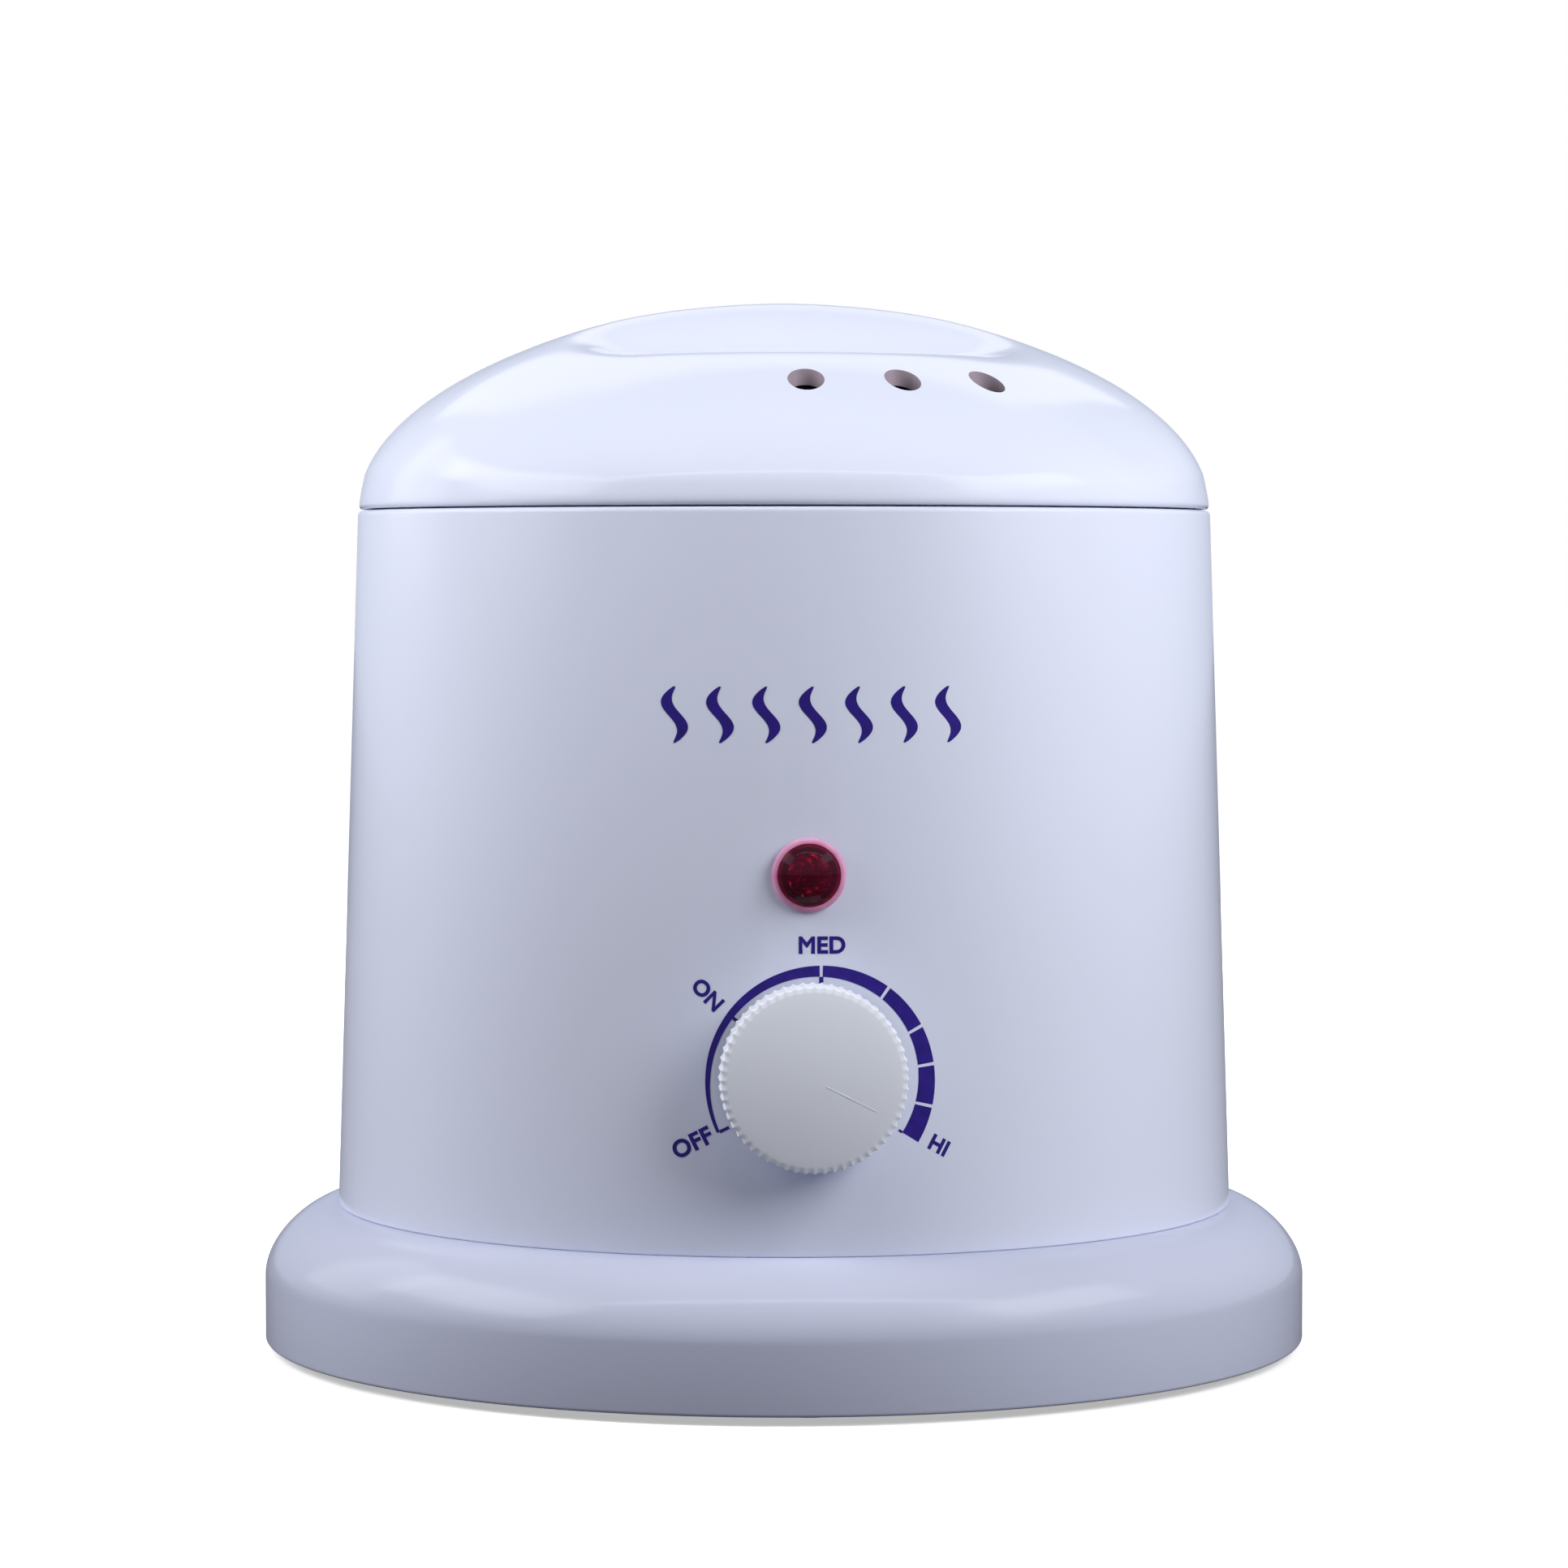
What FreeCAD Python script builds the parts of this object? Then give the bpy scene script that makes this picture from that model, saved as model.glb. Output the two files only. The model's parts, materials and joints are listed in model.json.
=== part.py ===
import FreeCAD, Part
import math
import os

from FreeCAD import Vector

# Wax warmer pot.  Millimetres, +Z up, origin on the floor under the middle of the base,
# the control knob faces -Y.

# ---------------------------------------------------------------- driving dimensions
WALL = 2.5                      # thickness of the moulded plastic shells
RUNNING = 0.05                  # radial clearance of a pin or shaft in its hole
SCREW_RADIUS = 1.5
SCREW_HOLE = SCREW_RADIUS + RUNNING

FOOT_DROP = 1.5                 # the base rim hangs this far above the floor
FOOT_RADIUS = 8.0
FOOT_BEVEL = 0.5
FOOT_STEM_RADIUS = 2.6
FOOT_STEM_RISE = 3.5
FOOT_CIRCLE = 76.0
FOOT_ANGLES = (0, 90, 180, 270)

BASE_RADIUS = 92.5
BASE_WALL_TOP = 13.0            # the upright wall of the base ends here and the shoulder starts
SEAM_Z = 25.6                   # the shoulder meets the shell
SHOULDER_HANDLE = 0.456         # how full the shoulder's quarter curve is
LEDGE_RADIUS = 66.0             # inner edge of the ledge that carries the shell
BOTTOM_PLATE_Z = 2.7
BOTTOM_PLATE_THICK = 2.0
BOTTOM_PLATE_GAP = 0.5          # between the plate's edge and the base wall
SLOT_PITCH = 9.0
SLOT_MIDDLE_Y = -25.0
SLOT_HALF_LENGTH = 26.0
SLOT_TAPER = 3.0                # each slot away from the middle is shorter by this at both ends
SLOT_RADIUS = 1.5
PLATE_SCREW_CIRCLE = 80.0
PLATE_SCREW_ANGLES = (45, 135, 225, 315)
PLATE_SCREW_HEAD = (2.9, 0.9)   # radius and height of a head
PLATE_SCREW_LENGTH = 9.0
PLATE_SCREW_SINK = 1.0
PLATE_BOSS_RADIUS = 4.5
RING_HEIGHT = 4.0               # locating ring that the shell fits over
RING_THICK = 2.2
SHELL_SCREW_CIRCLE = 70.2
SHELL_SCREW_ANGLES = (90, 210, 330)
SHELL_SCREW_HEAD = (2.9, 2.0)
SHELL_SCREW_LENGTH = 13.5
SHELL_POST_RADIUS = 4.0
SHELL_POST_RISE = 15.0

SHELL_BOTTOM_RADIUS = 79.5
SHELL_DRAFT = 1.81              # degrees the shell leans inwards
SHELL_TOP = 148.2
SHELL_EDGE = 1.0                # radius of the shell's top edge

COLLAR_Z = 142.0
COLLAR_TOP = 145.5
COLLAR_BORE = 58.5
COLLAR_RADIUS = 73.15
CHAMBER_BORE = 57.5
CHAMBER_WALL = 1.5
CHAMBER_RADIUS = CHAMBER_BORE + CHAMBER_WALL
CHAMBER_FLOOR_Z = 72.0
CHAMBER_FLANGE_RADIUS = 71.5
CHAMBER_SCREW_CIRCLE = 66.0
CHAMBER_SCREW_ANGLES = (30, 150, 270)
CHAMBER_SCREW_HEAD = (2.8, 2.0)
CHAMBER_SCREW_LENGTH = 4.4
CHAMBER_CORNER = 5.0

POT_RADIUS = 56.5
POT_WALL = 1.2
POT_FLOOR_Z = 74.5
POT_CORNER = 7.0
POT_RIM_RADIUS = 64.0
POT_RIM_TOP = COLLAR_TOP + POT_WALL
EAR_X = 61.0                    # inner face of an ear's upright
EAR_THICK = 1.2
EAR_FOOT_THICK = 1.0
EAR_HALF_WIDTH = 3.2
EAR_FOOT_HALF = 6.3
EAR_FOOT_INNER = 57.0
RIVET_X = 59.2
RIVET_Y = 3.9
RIVET_RADIUS = 1.2
RIVET_HEAD = (1.7, 0.8)
PIVOT_Z = 150.2
WIRE_RADIUS = 1.3               # bail wire
BAIL_RADIUS = 65.6
BAIL_BEND = 2.6
BAIL_TIP = 59.4

LID_RADIUS = 75.4
LID_BOTTOM = 148.45
LID_SPRING_Z = 149.85           # the dome starts to curve inwards here
LID_TOP = 184.9
LID_WALL = 2.4
DOME_HANDLE = 0.504
GRIP_TURN = 6.0                 # degrees the grip is turned from straight ahead
STEAM_HOLE_TURN = 18.0          # and the steam holes
SCOOP_RING_RADIUS = 43.0        # highest ring of the scooped front and back
SCOOP_RING_Z = 174.6
SCOOP_HANDLES = (7.0, 9.0)      # pull of the skirt's curve at the rim and at the ring
GRIP_HALF_WIDTHS = ((0, 4.8), (35, 6.3), (50, 10.9), (62, 19.2), (75.4, 36.2))
VALLEY_Z = 173.6                # floor of the finger hollow beside the grip
LIP_OUTER = 72.8
LIP_INNER = 70.2
STEAM_HOLE_RADIUS = 3.1
STEAM_HOLE_CIRCLE = 55.5
STEAM_HOLE_SPACING = 17.2       # degrees

KNOB_X = 0.45                   # the control sits slightly right of the lamp
KNOB_Z = 55.4
KNOB_RADIUS = 15.4
KNOB_FRONT = -88.0
KNOB_BACK = -79.6
KNOB_FACE = 1.8
KNOB_TEETH = 60
KNOB_TOOTH_DEPTH = 0.35
KNOB_EDGE = 0.4                 # bevel round the face
KNOB_SKIRT = 1.5
POINTER_ANGLE = 117.0           # clockwise from straight up
POINTER_REACH = (2.0, 10.5)
POINTER_DEPTH = 0.2
HUB_RADIUS = 5.5
HUB_BACK = -81.1
SPINDLE_RADIUS = 3.0
SPINDLE_FRONT = -86.0
SPINDLE_BACK = -52.3
SPINDLE_FLAT = 2.2              # distance of the D flat from the axis
BUSHING_RADIUS = 4.75
BUSHING_FRONT = -80.7
BUSHING_SEAT = -78.0            # flat seat sunk in the shell under the washer
SEAT_RADIUS = 8.0
WASHER_RADIUS = 7.4
WASHER_THICK = 0.5
NUT_THICK = 1.8
NUT_ACROSS_FLATS = 13.0
THERMOSTAT_HALF = (12.5, 10.5)  # half width and half height
THERMOSTAT_FRONT = -60.0
THERMOSTAT_BACK = -45.0
SPACER_RADIUS = 7.0
SPACER_FRONT = -75.2
TAB_X = 7.0
TAB_HALF_WIDTH = 3.15
TAB_Y = (-52.4, -51.6)
TAB_LENGTH = 8.0
BRACKET_HALF = 10.0
BRACKET_THICK = 1.5
BRACKET_BACK = -28.0
BRACKET_LOW = 46.0
BRACKET_SCREW_X = 5.0
BRACKET_SCREW_Y = -36.0
BRACKET_SCREW_HEAD = (2.6, 2.0)
BRACKET_SCREW_LENGTH = 2.9

LAMP_Z = 88.1
LAMP_STEM_RADIUS = 4.4
LAMP_STEM_BACK = -69.5
LAMP_FLANGE_RADIUS = 6.1
LAMP_FLANGE_THICK = 1.0
LAMP_DOME_RADIUS = 5.2
LAMP_DOME_HEIGHT = 2.6
LAMP_CLIP_RADIUS = 7.2
LAMP_CLIP_THICK = 0.8
NEON_RADIUS = 2.7
NEON_Y = (-76.8, -67.0)

HEATER_THICK = 1.95
HEATER_Z = (100.0, 128.0)
STRAP_THICK = 0.6
STRAP_Z = (106.0, 122.0)
SLEEVE_RADII = (62.2, 66.2)
SLEEVE_Z = (97.0, 134.0)
CLAMP_Y = 65.0
CLAMP_LUG = (4.2, 5.2)          # inner and outer face of a lug
CLAMP_SCREW_HEAD = (2.8, 2.0)
CLAMP_NUT_FLATS = 5.5
CLAMP_NUT_THICK = 2.4
HEATER_TAB_ANGLES = (80, 100)
HEATER_TAB_DROP = 5.0

GROMMET_Z = 10.5
GROMMET_NECK = 4.9
GROMMET_BORE = 3.4
GROMMET_FLANGE = 6.0
GROMMET_SEAT = 91.0             # flat seat sunk in the base wall under the grommet's flange
GROMMET_BACK = 92.4
GROMMET_LENGTH_INSIDE = 2.6
GROMMET_LIP = 1.5

FUSE_Y = 12.0
FUSE_RADIUS = 2.2
FUSE_HALF_LENGTH = 7.0
FUSE_CLIP_HALF = (3.0, 9.0)     # half width, and half length of the clip's wings
EARTH_X = 22.0
TAG_THICK = 0.8
TAG_RADIUS = 4.0
TAG_REACH = 9.0
EARTH_SCREW_HEAD = (2.8, 2.0)
EARTH_SCREW_LENGTH = 2.2
BLOCK_X = (-16.0, 16.0)
BLOCK_Y = (22.0, 38.0)
BLOCK_TOP = 17.0
BLOCK_WAYS = (-10.0, 0.0, 10.0)
BLOCK_SCREW_ROWS = (26.0, 34.0)
BLOCK_SCREW_RADIUS = 1.95
BLOCK_BORE = 1.6
WIRE_WAY_Z = 9.5
LEAD_RADIUS = 0.9
THIN_LEAD_RADIUS = 0.6
QUARTER = 0.5523                # Bezier handle that draws a quarter circle

ORIGIN = Vector(0, 0, 0)
X_AXIS = Vector(1, 0, 0)
Y_AXIS = Vector(0, 1, 0)
Z_AXIS = Vector(0, 0, 1)


# ---------------------------------------------------------------- helpers
def shell_radius(z):
    """Outer radius of the shell at a height."""
    return SHELL_BOTTOM_RADIUS - (z - SEAM_Z) * math.tan(math.radians(SHELL_DRAFT))


def polar(radius, degrees, z=0.0):
    angle = math.radians(degrees)
    return Vector(radius * math.cos(angle), radius * math.sin(angle), z)


def line(start, end):
    """Straight edge between two (radius, z) points in the XZ plane."""
    return Part.LineSegment(Vector(start[0], 0, start[1]), Vector(end[0], 0, end[1])).toShape()


def curve(*poles):
    """Bezier edge through (radius, z) poles in the XZ plane."""
    bezier = Part.BezierCurve()
    bezier.setPoles([Vector(radius, 0, z) for radius, z in poles])
    return bezier.toShape()


def path(*points):
    """Straight edges through a run of (radius, z) points."""
    return [line(a, b) for a, b in zip(points, points[1:])]


def spin(edges):
    """Turn a closed outline in the XZ plane round the Z axis."""
    face = Part.Face(Part.Wire(Part.__sortEdges__(edges)))
    return face.revolve(ORIGIN, Z_AXIS, 360)


def disc(radius, low, high, x=0.0, y=0.0):
    return Part.makeCylinder(radius, high - low, Vector(x, y, low))


def ring(inner, outer, low, high):
    return disc(outer, low, high).cut(disc(inner, low - 1, high + 1))


def rod_y(radius, front, back, x=0.0, z=0.0):
    return Part.makeCylinder(radius, back - front, Vector(x, front, z), Y_AXIS)


def rod_x(radius, left, right, y=0.0, z=0.0):
    return Part.makeCylinder(radius, right - left, Vector(left, y, z), X_AXIS)


def block(x, y, z):
    """Box from three (low, high) pairs."""
    return Part.makeBox(x[1] - x[0], y[1] - y[0], z[1] - z[0], Vector(x[0], y[0], z[0]))


def fuse_all(shapes):
    whole = shapes[0]
    for shape in shapes[1:]:
        whole = whole.fuse(shape)
    return whole.removeSplitter()


def cut_all(shape, tools):
    for tool in tools:
        shape = shape.cut(tool)
    return shape


def wedge(centre_degrees, half_degrees, low, high, reach=110.0):
    """Prism that covers a sector of the circle, to open a gap in a ring."""
    left = polar(reach, centre_degrees - half_degrees, low)
    right = polar(reach, centre_degrees + half_degrees, low)
    outline = Part.makePolygon([Vector(0, 0, low), left, right, Vector(0, 0, low)])
    return Part.Face(outline).extrude(Vector(0, 0, high - low))


def hexagon(across_flats, front, back, x, z):
    """Six-sided prism along Y."""
    radius = across_flats / math.sqrt(3)
    corners = []
    for step in range(7):
        angle = math.radians(60 * step)
        corners.append(Vector(x + radius * math.cos(angle), front, z + radius * math.sin(angle)))
    return Part.Face(Part.makePolygon(corners)).extrude(Vector(0, back - front, 0))


def screw(x, y, seat, head, length):
    """Pan-head screw from below: the head (radius, height) hangs under the seat."""
    body = disc(head[0], seat - head[1], seat, x, y)
    return body.fuse(disc(SCREW_RADIUS, seat, seat + length, x, y))


def lead(points, radius=LEAD_RADIUS):
    """Insulated wire along straight runs joined by tangent arcs."""
    share = 0.45
    points = [Vector(*point) for point in points]
    edges = []
    start = points[0]
    for before, corner, after in zip(points, points[1:], points[2:]):
        inward = (before - corner).normalize()
        outward = (after - corner).normalize()
        reach = share * min((before - corner).Length, (after - corner).Length)
        half_turn = (math.pi - inward.getAngle(outward)) / 2
        bend = reach / math.tan(half_turn)
        first = corner + inward * reach
        last = corner + outward * reach
        bisector = (inward + outward).normalize()
        middle = corner + bisector * (bend / math.cos(half_turn) - bend)
        edges.append(Part.LineSegment(start, first).toShape())
        edges.append(Part.Arc(first, middle, last).toShape())
        start = last
    edges.append(Part.LineSegment(start, points[-1]).toShape())
    section = Part.Wire(Part.makeCircle(radius, points[0], points[1] - points[0]))
    return Part.Wire(edges).makePipeShell([section], True, False)


# ---------------------------------------------------------------- base
def rubber_feet():
    feet = []
    for angle in FOOT_ANGLES:
        spot = polar(FOOT_CIRCLE, angle)
        pad = disc(FOOT_RADIUS, 0, BOTTOM_PLATE_Z, spot.x, spot.y)
        pad = pad.makeChamfer(FOOT_BEVEL, [pad.Edges[2]])
        stem = disc(FOOT_STEM_RADIUS, BOTTOM_PLATE_Z, BOTTOM_PLATE_Z + FOOT_STEM_RISE, spot.x, spot.y)
        feet.append(pad.fuse(stem).removeSplitter())
    return Part.makeCompound(feet)


def vent_slot(row):
    """Round-ended slot; the rows run either side of row 0."""
    y = SLOT_MIDDLE_Y + row * SLOT_PITCH
    half = SLOT_HALF_LENGTH - abs(row) * SLOT_TAPER
    low = BOTTOM_PLATE_Z - 1
    high = BOTTOM_PLATE_Z + BOTTOM_PLATE_THICK + 1
    slot = block((-half, half), (y - SLOT_RADIUS, y + SLOT_RADIUS), (low, high))
    left = disc(SLOT_RADIUS, low, high, -half, y)
    right = disc(SLOT_RADIUS, low, high, half, y)
    return slot.fuse(left).fuse(right)


def bottom_plate():
    top = BOTTOM_PLATE_Z + BOTTOM_PLATE_THICK
    plate = disc(BASE_RADIUS - WALL - BOTTOM_PLATE_GAP, BOTTOM_PLATE_Z, top)
    tools = [vent_slot(row) for row in range(-3, 4)]
    for angle in FOOT_ANGLES:
        spot = polar(FOOT_CIRCLE, angle)
        tools.append(disc(FOOT_STEM_RADIUS + RUNNING, 0, top + 1, spot.x, spot.y))
    for angle in PLATE_SCREW_ANGLES:
        spot = polar(PLATE_SCREW_CIRCLE, angle)
        tools.append(disc(SCREW_HOLE, 0, top + 1, spot.x, spot.y))
        sink = disc(PLATE_SCREW_HEAD[0] + 0.2, 0, BOTTOM_PLATE_Z + PLATE_SCREW_SINK, spot.x, spot.y)
        tools.append(sink)
    return cut_all(plate, tools)


def bottom_screws():
    seat = BOTTOM_PLATE_Z + PLATE_SCREW_SINK
    spots = [polar(PLATE_SCREW_CIRCLE, angle) for angle in PLATE_SCREW_ANGLES]
    return Part.makeCompound([screw(p.x, p.y, seat, PLATE_SCREW_HEAD, PLATE_SCREW_LENGTH) for p in spots])


def base_outline():
    """Section of the base: upright wall, curved shoulder, ledge and locating ring."""
    inner = BASE_RADIUS - WALL
    ledge_low = SEAM_Z - WALL
    shoulder = (BASE_RADIUS - SHELL_BOTTOM_RADIUS) * SHOULDER_HANDLE
    rise = (SEAM_Z - BASE_WALL_TOP) * SHOULDER_HANDLE
    inner_start = SHELL_BOTTOM_RADIUS - 1.0
    ring_top = SEAM_Z + RING_HEIGHT
    ring_outer = shell_radius(ring_top) - WALL - 0.1
    ring_inner = ring_outer - RING_THICK
    edges = path((inner, FOOT_DROP), (BASE_RADIUS, FOOT_DROP), (BASE_RADIUS, BASE_WALL_TOP))
    edges.append(curve((BASE_RADIUS, BASE_WALL_TOP), (BASE_RADIUS, BASE_WALL_TOP + rise),
                       (SHELL_BOTTOM_RADIUS + shoulder, SEAM_Z), (SHELL_BOTTOM_RADIUS, SEAM_Z)))
    edges += path((SHELL_BOTTOM_RADIUS, SEAM_Z), (ring_outer, SEAM_Z), (ring_outer, ring_top),
                  (ring_inner, ring_top), (ring_inner, SEAM_Z), (LEDGE_RADIUS, SEAM_Z),
                  (LEDGE_RADIUS, ledge_low), (inner_start, ledge_low))
    edges.append(curve((inner_start, ledge_low),
                       (inner_start + (inner - inner_start) * SHOULDER_HANDLE, ledge_low),
                       (inner, BASE_WALL_TOP + (ledge_low - BASE_WALL_TOP) * SHOULDER_HANDLE),
                       (inner, BASE_WALL_TOP)))
    edges += path((inner, BASE_WALL_TOP), (inner, FOOT_DROP))
    return edges


def base_flange():
    plate_top = BOTTOM_PLATE_Z + BOTTOM_PLATE_THICK
    flange = spin(base_outline())
    for angle in PLATE_SCREW_ANGLES:
        spot = polar(PLATE_SCREW_CIRCLE, angle)
        flange = flange.fuse(disc(PLATE_BOSS_RADIUS, plate_top, SEAM_Z - WALL + 0.4, spot.x, spot.y))
    tools = []
    for angle in PLATE_SCREW_ANGLES:
        spot = polar(PLATE_SCREW_CIRCLE, angle)
        tools.append(disc(SCREW_HOLE, 0, plate_top + PLATE_SCREW_LENGTH, spot.x, spot.y))
    for angle in SHELL_SCREW_ANGLES:
        spot = polar(SHELL_SCREW_CIRCLE, angle)
        tools.append(disc(SCREW_HOLE, SEAM_Z - 5, SEAM_Z + 1, spot.x, spot.y))
        notch = block((SHELL_SCREW_CIRCLE + SHELL_POST_RADIUS, SHELL_BOTTOM_RADIUS), (-1.5, 1.5),
                      (SEAM_Z, SEAM_Z + RING_HEIGHT + 1))
        tools.append(notch.rotate(ORIGIN, Z_AXIS, angle))
    outside = BASE_RADIUS + 1
    tools.append(rod_y(GROMMET_NECK + RUNNING, FOOT_CIRCLE, outside, 0, GROMMET_Z))
    tools.append(rod_y(GROMMET_FLANGE + 0.1, GROMMET_SEAT, outside, 0, GROMMET_Z))
    return cut_all(flange, tools).removeSplitter()


def cord_grommet():
    start = BASE_RADIUS - WALL - GROMMET_LENGTH_INSIDE
    neck = rod_y(GROMMET_NECK, start, GROMMET_BACK, 0, GROMMET_Z)
    outer = rod_y(GROMMET_FLANGE, GROMMET_SEAT, GROMMET_BACK, 0, GROMMET_Z)
    inner = rod_y(GROMMET_FLANGE - 0.5, start, start + GROMMET_LIP, 0, GROMMET_Z)
    body = fuse_all([neck, outer, inner])
    return body.cut(rod_y(GROMMET_BORE, start - 1, GROMMET_BACK + 1, 0, GROMMET_Z))


# ---------------------------------------------------------------- shell and collar
def shell_outline():
    """Section of the shell with its rounded top edge and the ledge that carries the collar."""
    foot = shell_radius(SEAM_Z)
    top = shell_radius(SHELL_TOP)
    edge_start = shell_radius(SHELL_TOP - SHELL_EDGE)
    keep = SHELL_EDGE * (1 - QUARTER)
    ledge = CHAMBER_FLANGE_RADIUS + 0.4
    ledge_low = COLLAR_Z - 1.5
    gusset_z = COLLAR_Z - 4
    edges = path((foot - WALL, SEAM_Z), (foot, SEAM_Z), (edge_start, SHELL_TOP - SHELL_EDGE))
    edges.append(curve((edge_start, SHELL_TOP - SHELL_EDGE), (top, SHELL_TOP - keep),
                       (top - keep, SHELL_TOP), (top - SHELL_EDGE, SHELL_TOP)))
    edges += path((top - SHELL_EDGE, SHELL_TOP), (top - WALL, SHELL_TOP),
                  (shell_radius(COLLAR_Z) - WALL, COLLAR_Z), (ledge, COLLAR_Z), (ledge, ledge_low),
                  (shell_radius(gusset_z) - WALL, gusset_z), (foot - WALL, SEAM_Z))
    return edges


def outer_shell():
    shell = spin(shell_outline())
    wall_inner = SHELL_BOTTOM_RADIUS - WALL
    post_top = SEAM_Z + SHELL_POST_RISE
    for angle in SHELL_SCREW_ANGLES:
        spot = polar(SHELL_SCREW_CIRCLE, angle)
        post = disc(SHELL_POST_RADIUS, SEAM_Z, post_top, spot.x, spot.y)
        web = block((SHELL_SCREW_CIRCLE + 2, wall_inner + 0.7), (-1.0, 1.0), (SEAM_Z, post_top))
        shell = shell.fuse(post).fuse(web.rotate(ORIGIN, Z_AXIS, angle))
        shell = shell.cut(disc(SCREW_HOLE, SEAM_Z - 1, post_top - 3, spot.x, spot.y))
    front = -BASE_RADIUS
    inside = THERMOSTAT_FRONT
    tools = [rod_y(SEAT_RADIUS, front, BUSHING_SEAT, KNOB_X, KNOB_Z),
             rod_y(BUSHING_RADIUS + RUNNING, front, inside, KNOB_X, KNOB_Z),
             rod_y(LAMP_STEM_RADIUS + RUNNING, front, inside, 0, LAMP_Z)]
    return cut_all(shell, tools).removeSplitter()


def shell_screws():
    seat = SEAM_Z - WALL
    spots = [polar(SHELL_SCREW_CIRCLE, angle) for angle in SHELL_SCREW_ANGLES]
    return Part.makeCompound([screw(p.x, p.y, seat, SHELL_SCREW_HEAD, SHELL_SCREW_LENGTH) for p in spots])


def top_collar():
    collar = ring(COLLAR_BORE, COLLAR_RADIUS, COLLAR_Z, COLLAR_TOP)
    tools = []
    for angle in CHAMBER_SCREW_ANGLES:
        spot = polar(CHAMBER_SCREW_CIRCLE, angle)
        tools.append(disc(SCREW_HOLE, COLLAR_Z - 1, COLLAR_TOP - 0.5, spot.x, spot.y))
    return cut_all(collar, tools)


# ---------------------------------------------------------------- heating chamber
def cup_outline(bore, wall, floor_z, corner, rim_radius, rim_low, rim_high):
    """Section of a spun metal cup with a rounded floor corner and a flat rim."""
    outer = bore + wall
    inner_corner = corner - wall
    keep = 1 - QUARTER
    edges = path((0, floor_z + wall), (0, floor_z), (outer - corner, floor_z))
    edges.append(curve((outer - corner, floor_z), (outer - corner * keep, floor_z),
                       (outer, floor_z + corner * keep), (outer, floor_z + corner)))
    edges += path((outer, floor_z + corner), (outer, rim_low), (rim_radius, rim_low),
                  (rim_radius, rim_high), (bore, rim_high), (bore, floor_z + corner))
    edges.append(curve((bore, floor_z + corner), (bore, floor_z + wall + inner_corner * keep),
                       (bore - inner_corner * keep, floor_z + wall), (bore - inner_corner, floor_z + wall)))
    edges += path((bore - inner_corner, floor_z + wall), (0, floor_z + wall))
    return edges


def heating_chamber():
    chamber = spin(cup_outline(CHAMBER_BORE, CHAMBER_WALL, CHAMBER_FLOOR_Z, CHAMBER_CORNER,
                               CHAMBER_FLANGE_RADIUS, COLLAR_Z - CHAMBER_WALL, COLLAR_Z))
    tools = []
    for angle in CHAMBER_SCREW_ANGLES:
        spot = polar(CHAMBER_SCREW_CIRCLE, angle)
        tools.append(disc(SCREW_HOLE, COLLAR_Z - 3, COLLAR_Z + 1, spot.x, spot.y))
    spots = [(side * BRACKET_SCREW_X, BRACKET_SCREW_Y) for side in (-1, 1)]
    for x, y in spots + [(EARTH_X, FUSE_Y)]:
        tools.append(disc(SCREW_HOLE, CHAMBER_FLOOR_Z - 1, CHAMBER_FLOOR_Z + 3, x, y))
    return cut_all(chamber, tools)


def chamber_screws():
    seat = COLLAR_Z - CHAMBER_WALL
    spots = [polar(CHAMBER_SCREW_CIRCLE, angle) for angle in CHAMBER_SCREW_ANGLES]
    screws = [screw(p.x, p.y, seat, CHAMBER_SCREW_HEAD, CHAMBER_SCREW_LENGTH) for p in spots]
    return Part.makeCompound(screws)


def heater_band():
    inner = CHAMBER_RADIUS + RUNNING
    low, high = HEATER_Z
    band = ring(inner, inner + HEATER_THICK, low, high).cut(wedge(90, 6, low - 1, high + 1))
    for angle in HEATER_TAB_ANGLES:
        tab = block((inner + 0.5, inner + 4.9), (-2, 2), (low - HEATER_TAB_DROP, low + 2))
        band = band.fuse(tab.rotate(ORIGIN, Z_AXIS, angle))
    return band.removeSplitter()


def heater_clamp():
    inner = CHAMBER_RADIUS + RUNNING + HEATER_THICK + 0.02
    low, high = STRAP_Z
    strap = ring(inner, inner + STRAP_THICK, low, high).cut(wedge(90, 4.5, low - 1, high + 1))
    for side in (-1, 1):
        x = sorted(side * face for face in CLAMP_LUG)
        strap = strap.fuse(block(x, (inner - 0.4, CLAMP_Y + 4), (low, high)))
    middle = sum(STRAP_Z) / 2
    return strap.cut(rod_x(SCREW_HOLE, -10, 10, CLAMP_Y, middle)).removeSplitter()


def clamp_screw():
    middle = sum(STRAP_Z) / 2
    shank = rod_x(SCREW_RADIUS, -9, CLAMP_LUG[1] + 0.8, CLAMP_Y, middle)
    head = rod_x(CLAMP_SCREW_HEAD[0], CLAMP_LUG[1], CLAMP_LUG[1] + CLAMP_SCREW_HEAD[1], CLAMP_Y, middle)
    return shank.fuse(head).removeSplitter()


def clamp_nut():
    middle = sum(STRAP_Z) / 2
    nut = hexagon(CLAMP_NUT_FLATS, -CLAMP_LUG[1] - CLAMP_NUT_THICK, -CLAMP_LUG[1], 0, 0)
    nut = nut.rotate(ORIGIN, Z_AXIS, -90)
    nut = nut.translate(Vector(0, CLAMP_Y, middle))
    return nut.cut(rod_x(SCREW_HOLE, -10, 0, CLAMP_Y, middle))


def insulation_sleeve():
    low, high = SLEEVE_Z
    return ring(SLEEVE_RADII[0], SLEEVE_RADII[1], low, high).cut(wedge(90, 16, low - 1, high + 1))


# ---------------------------------------------------------------- removable pot
def rivet_spots():
    return [(side * RIVET_X, y) for side in (-1, 1) for y in (-RIVET_Y, RIVET_Y)]


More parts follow.
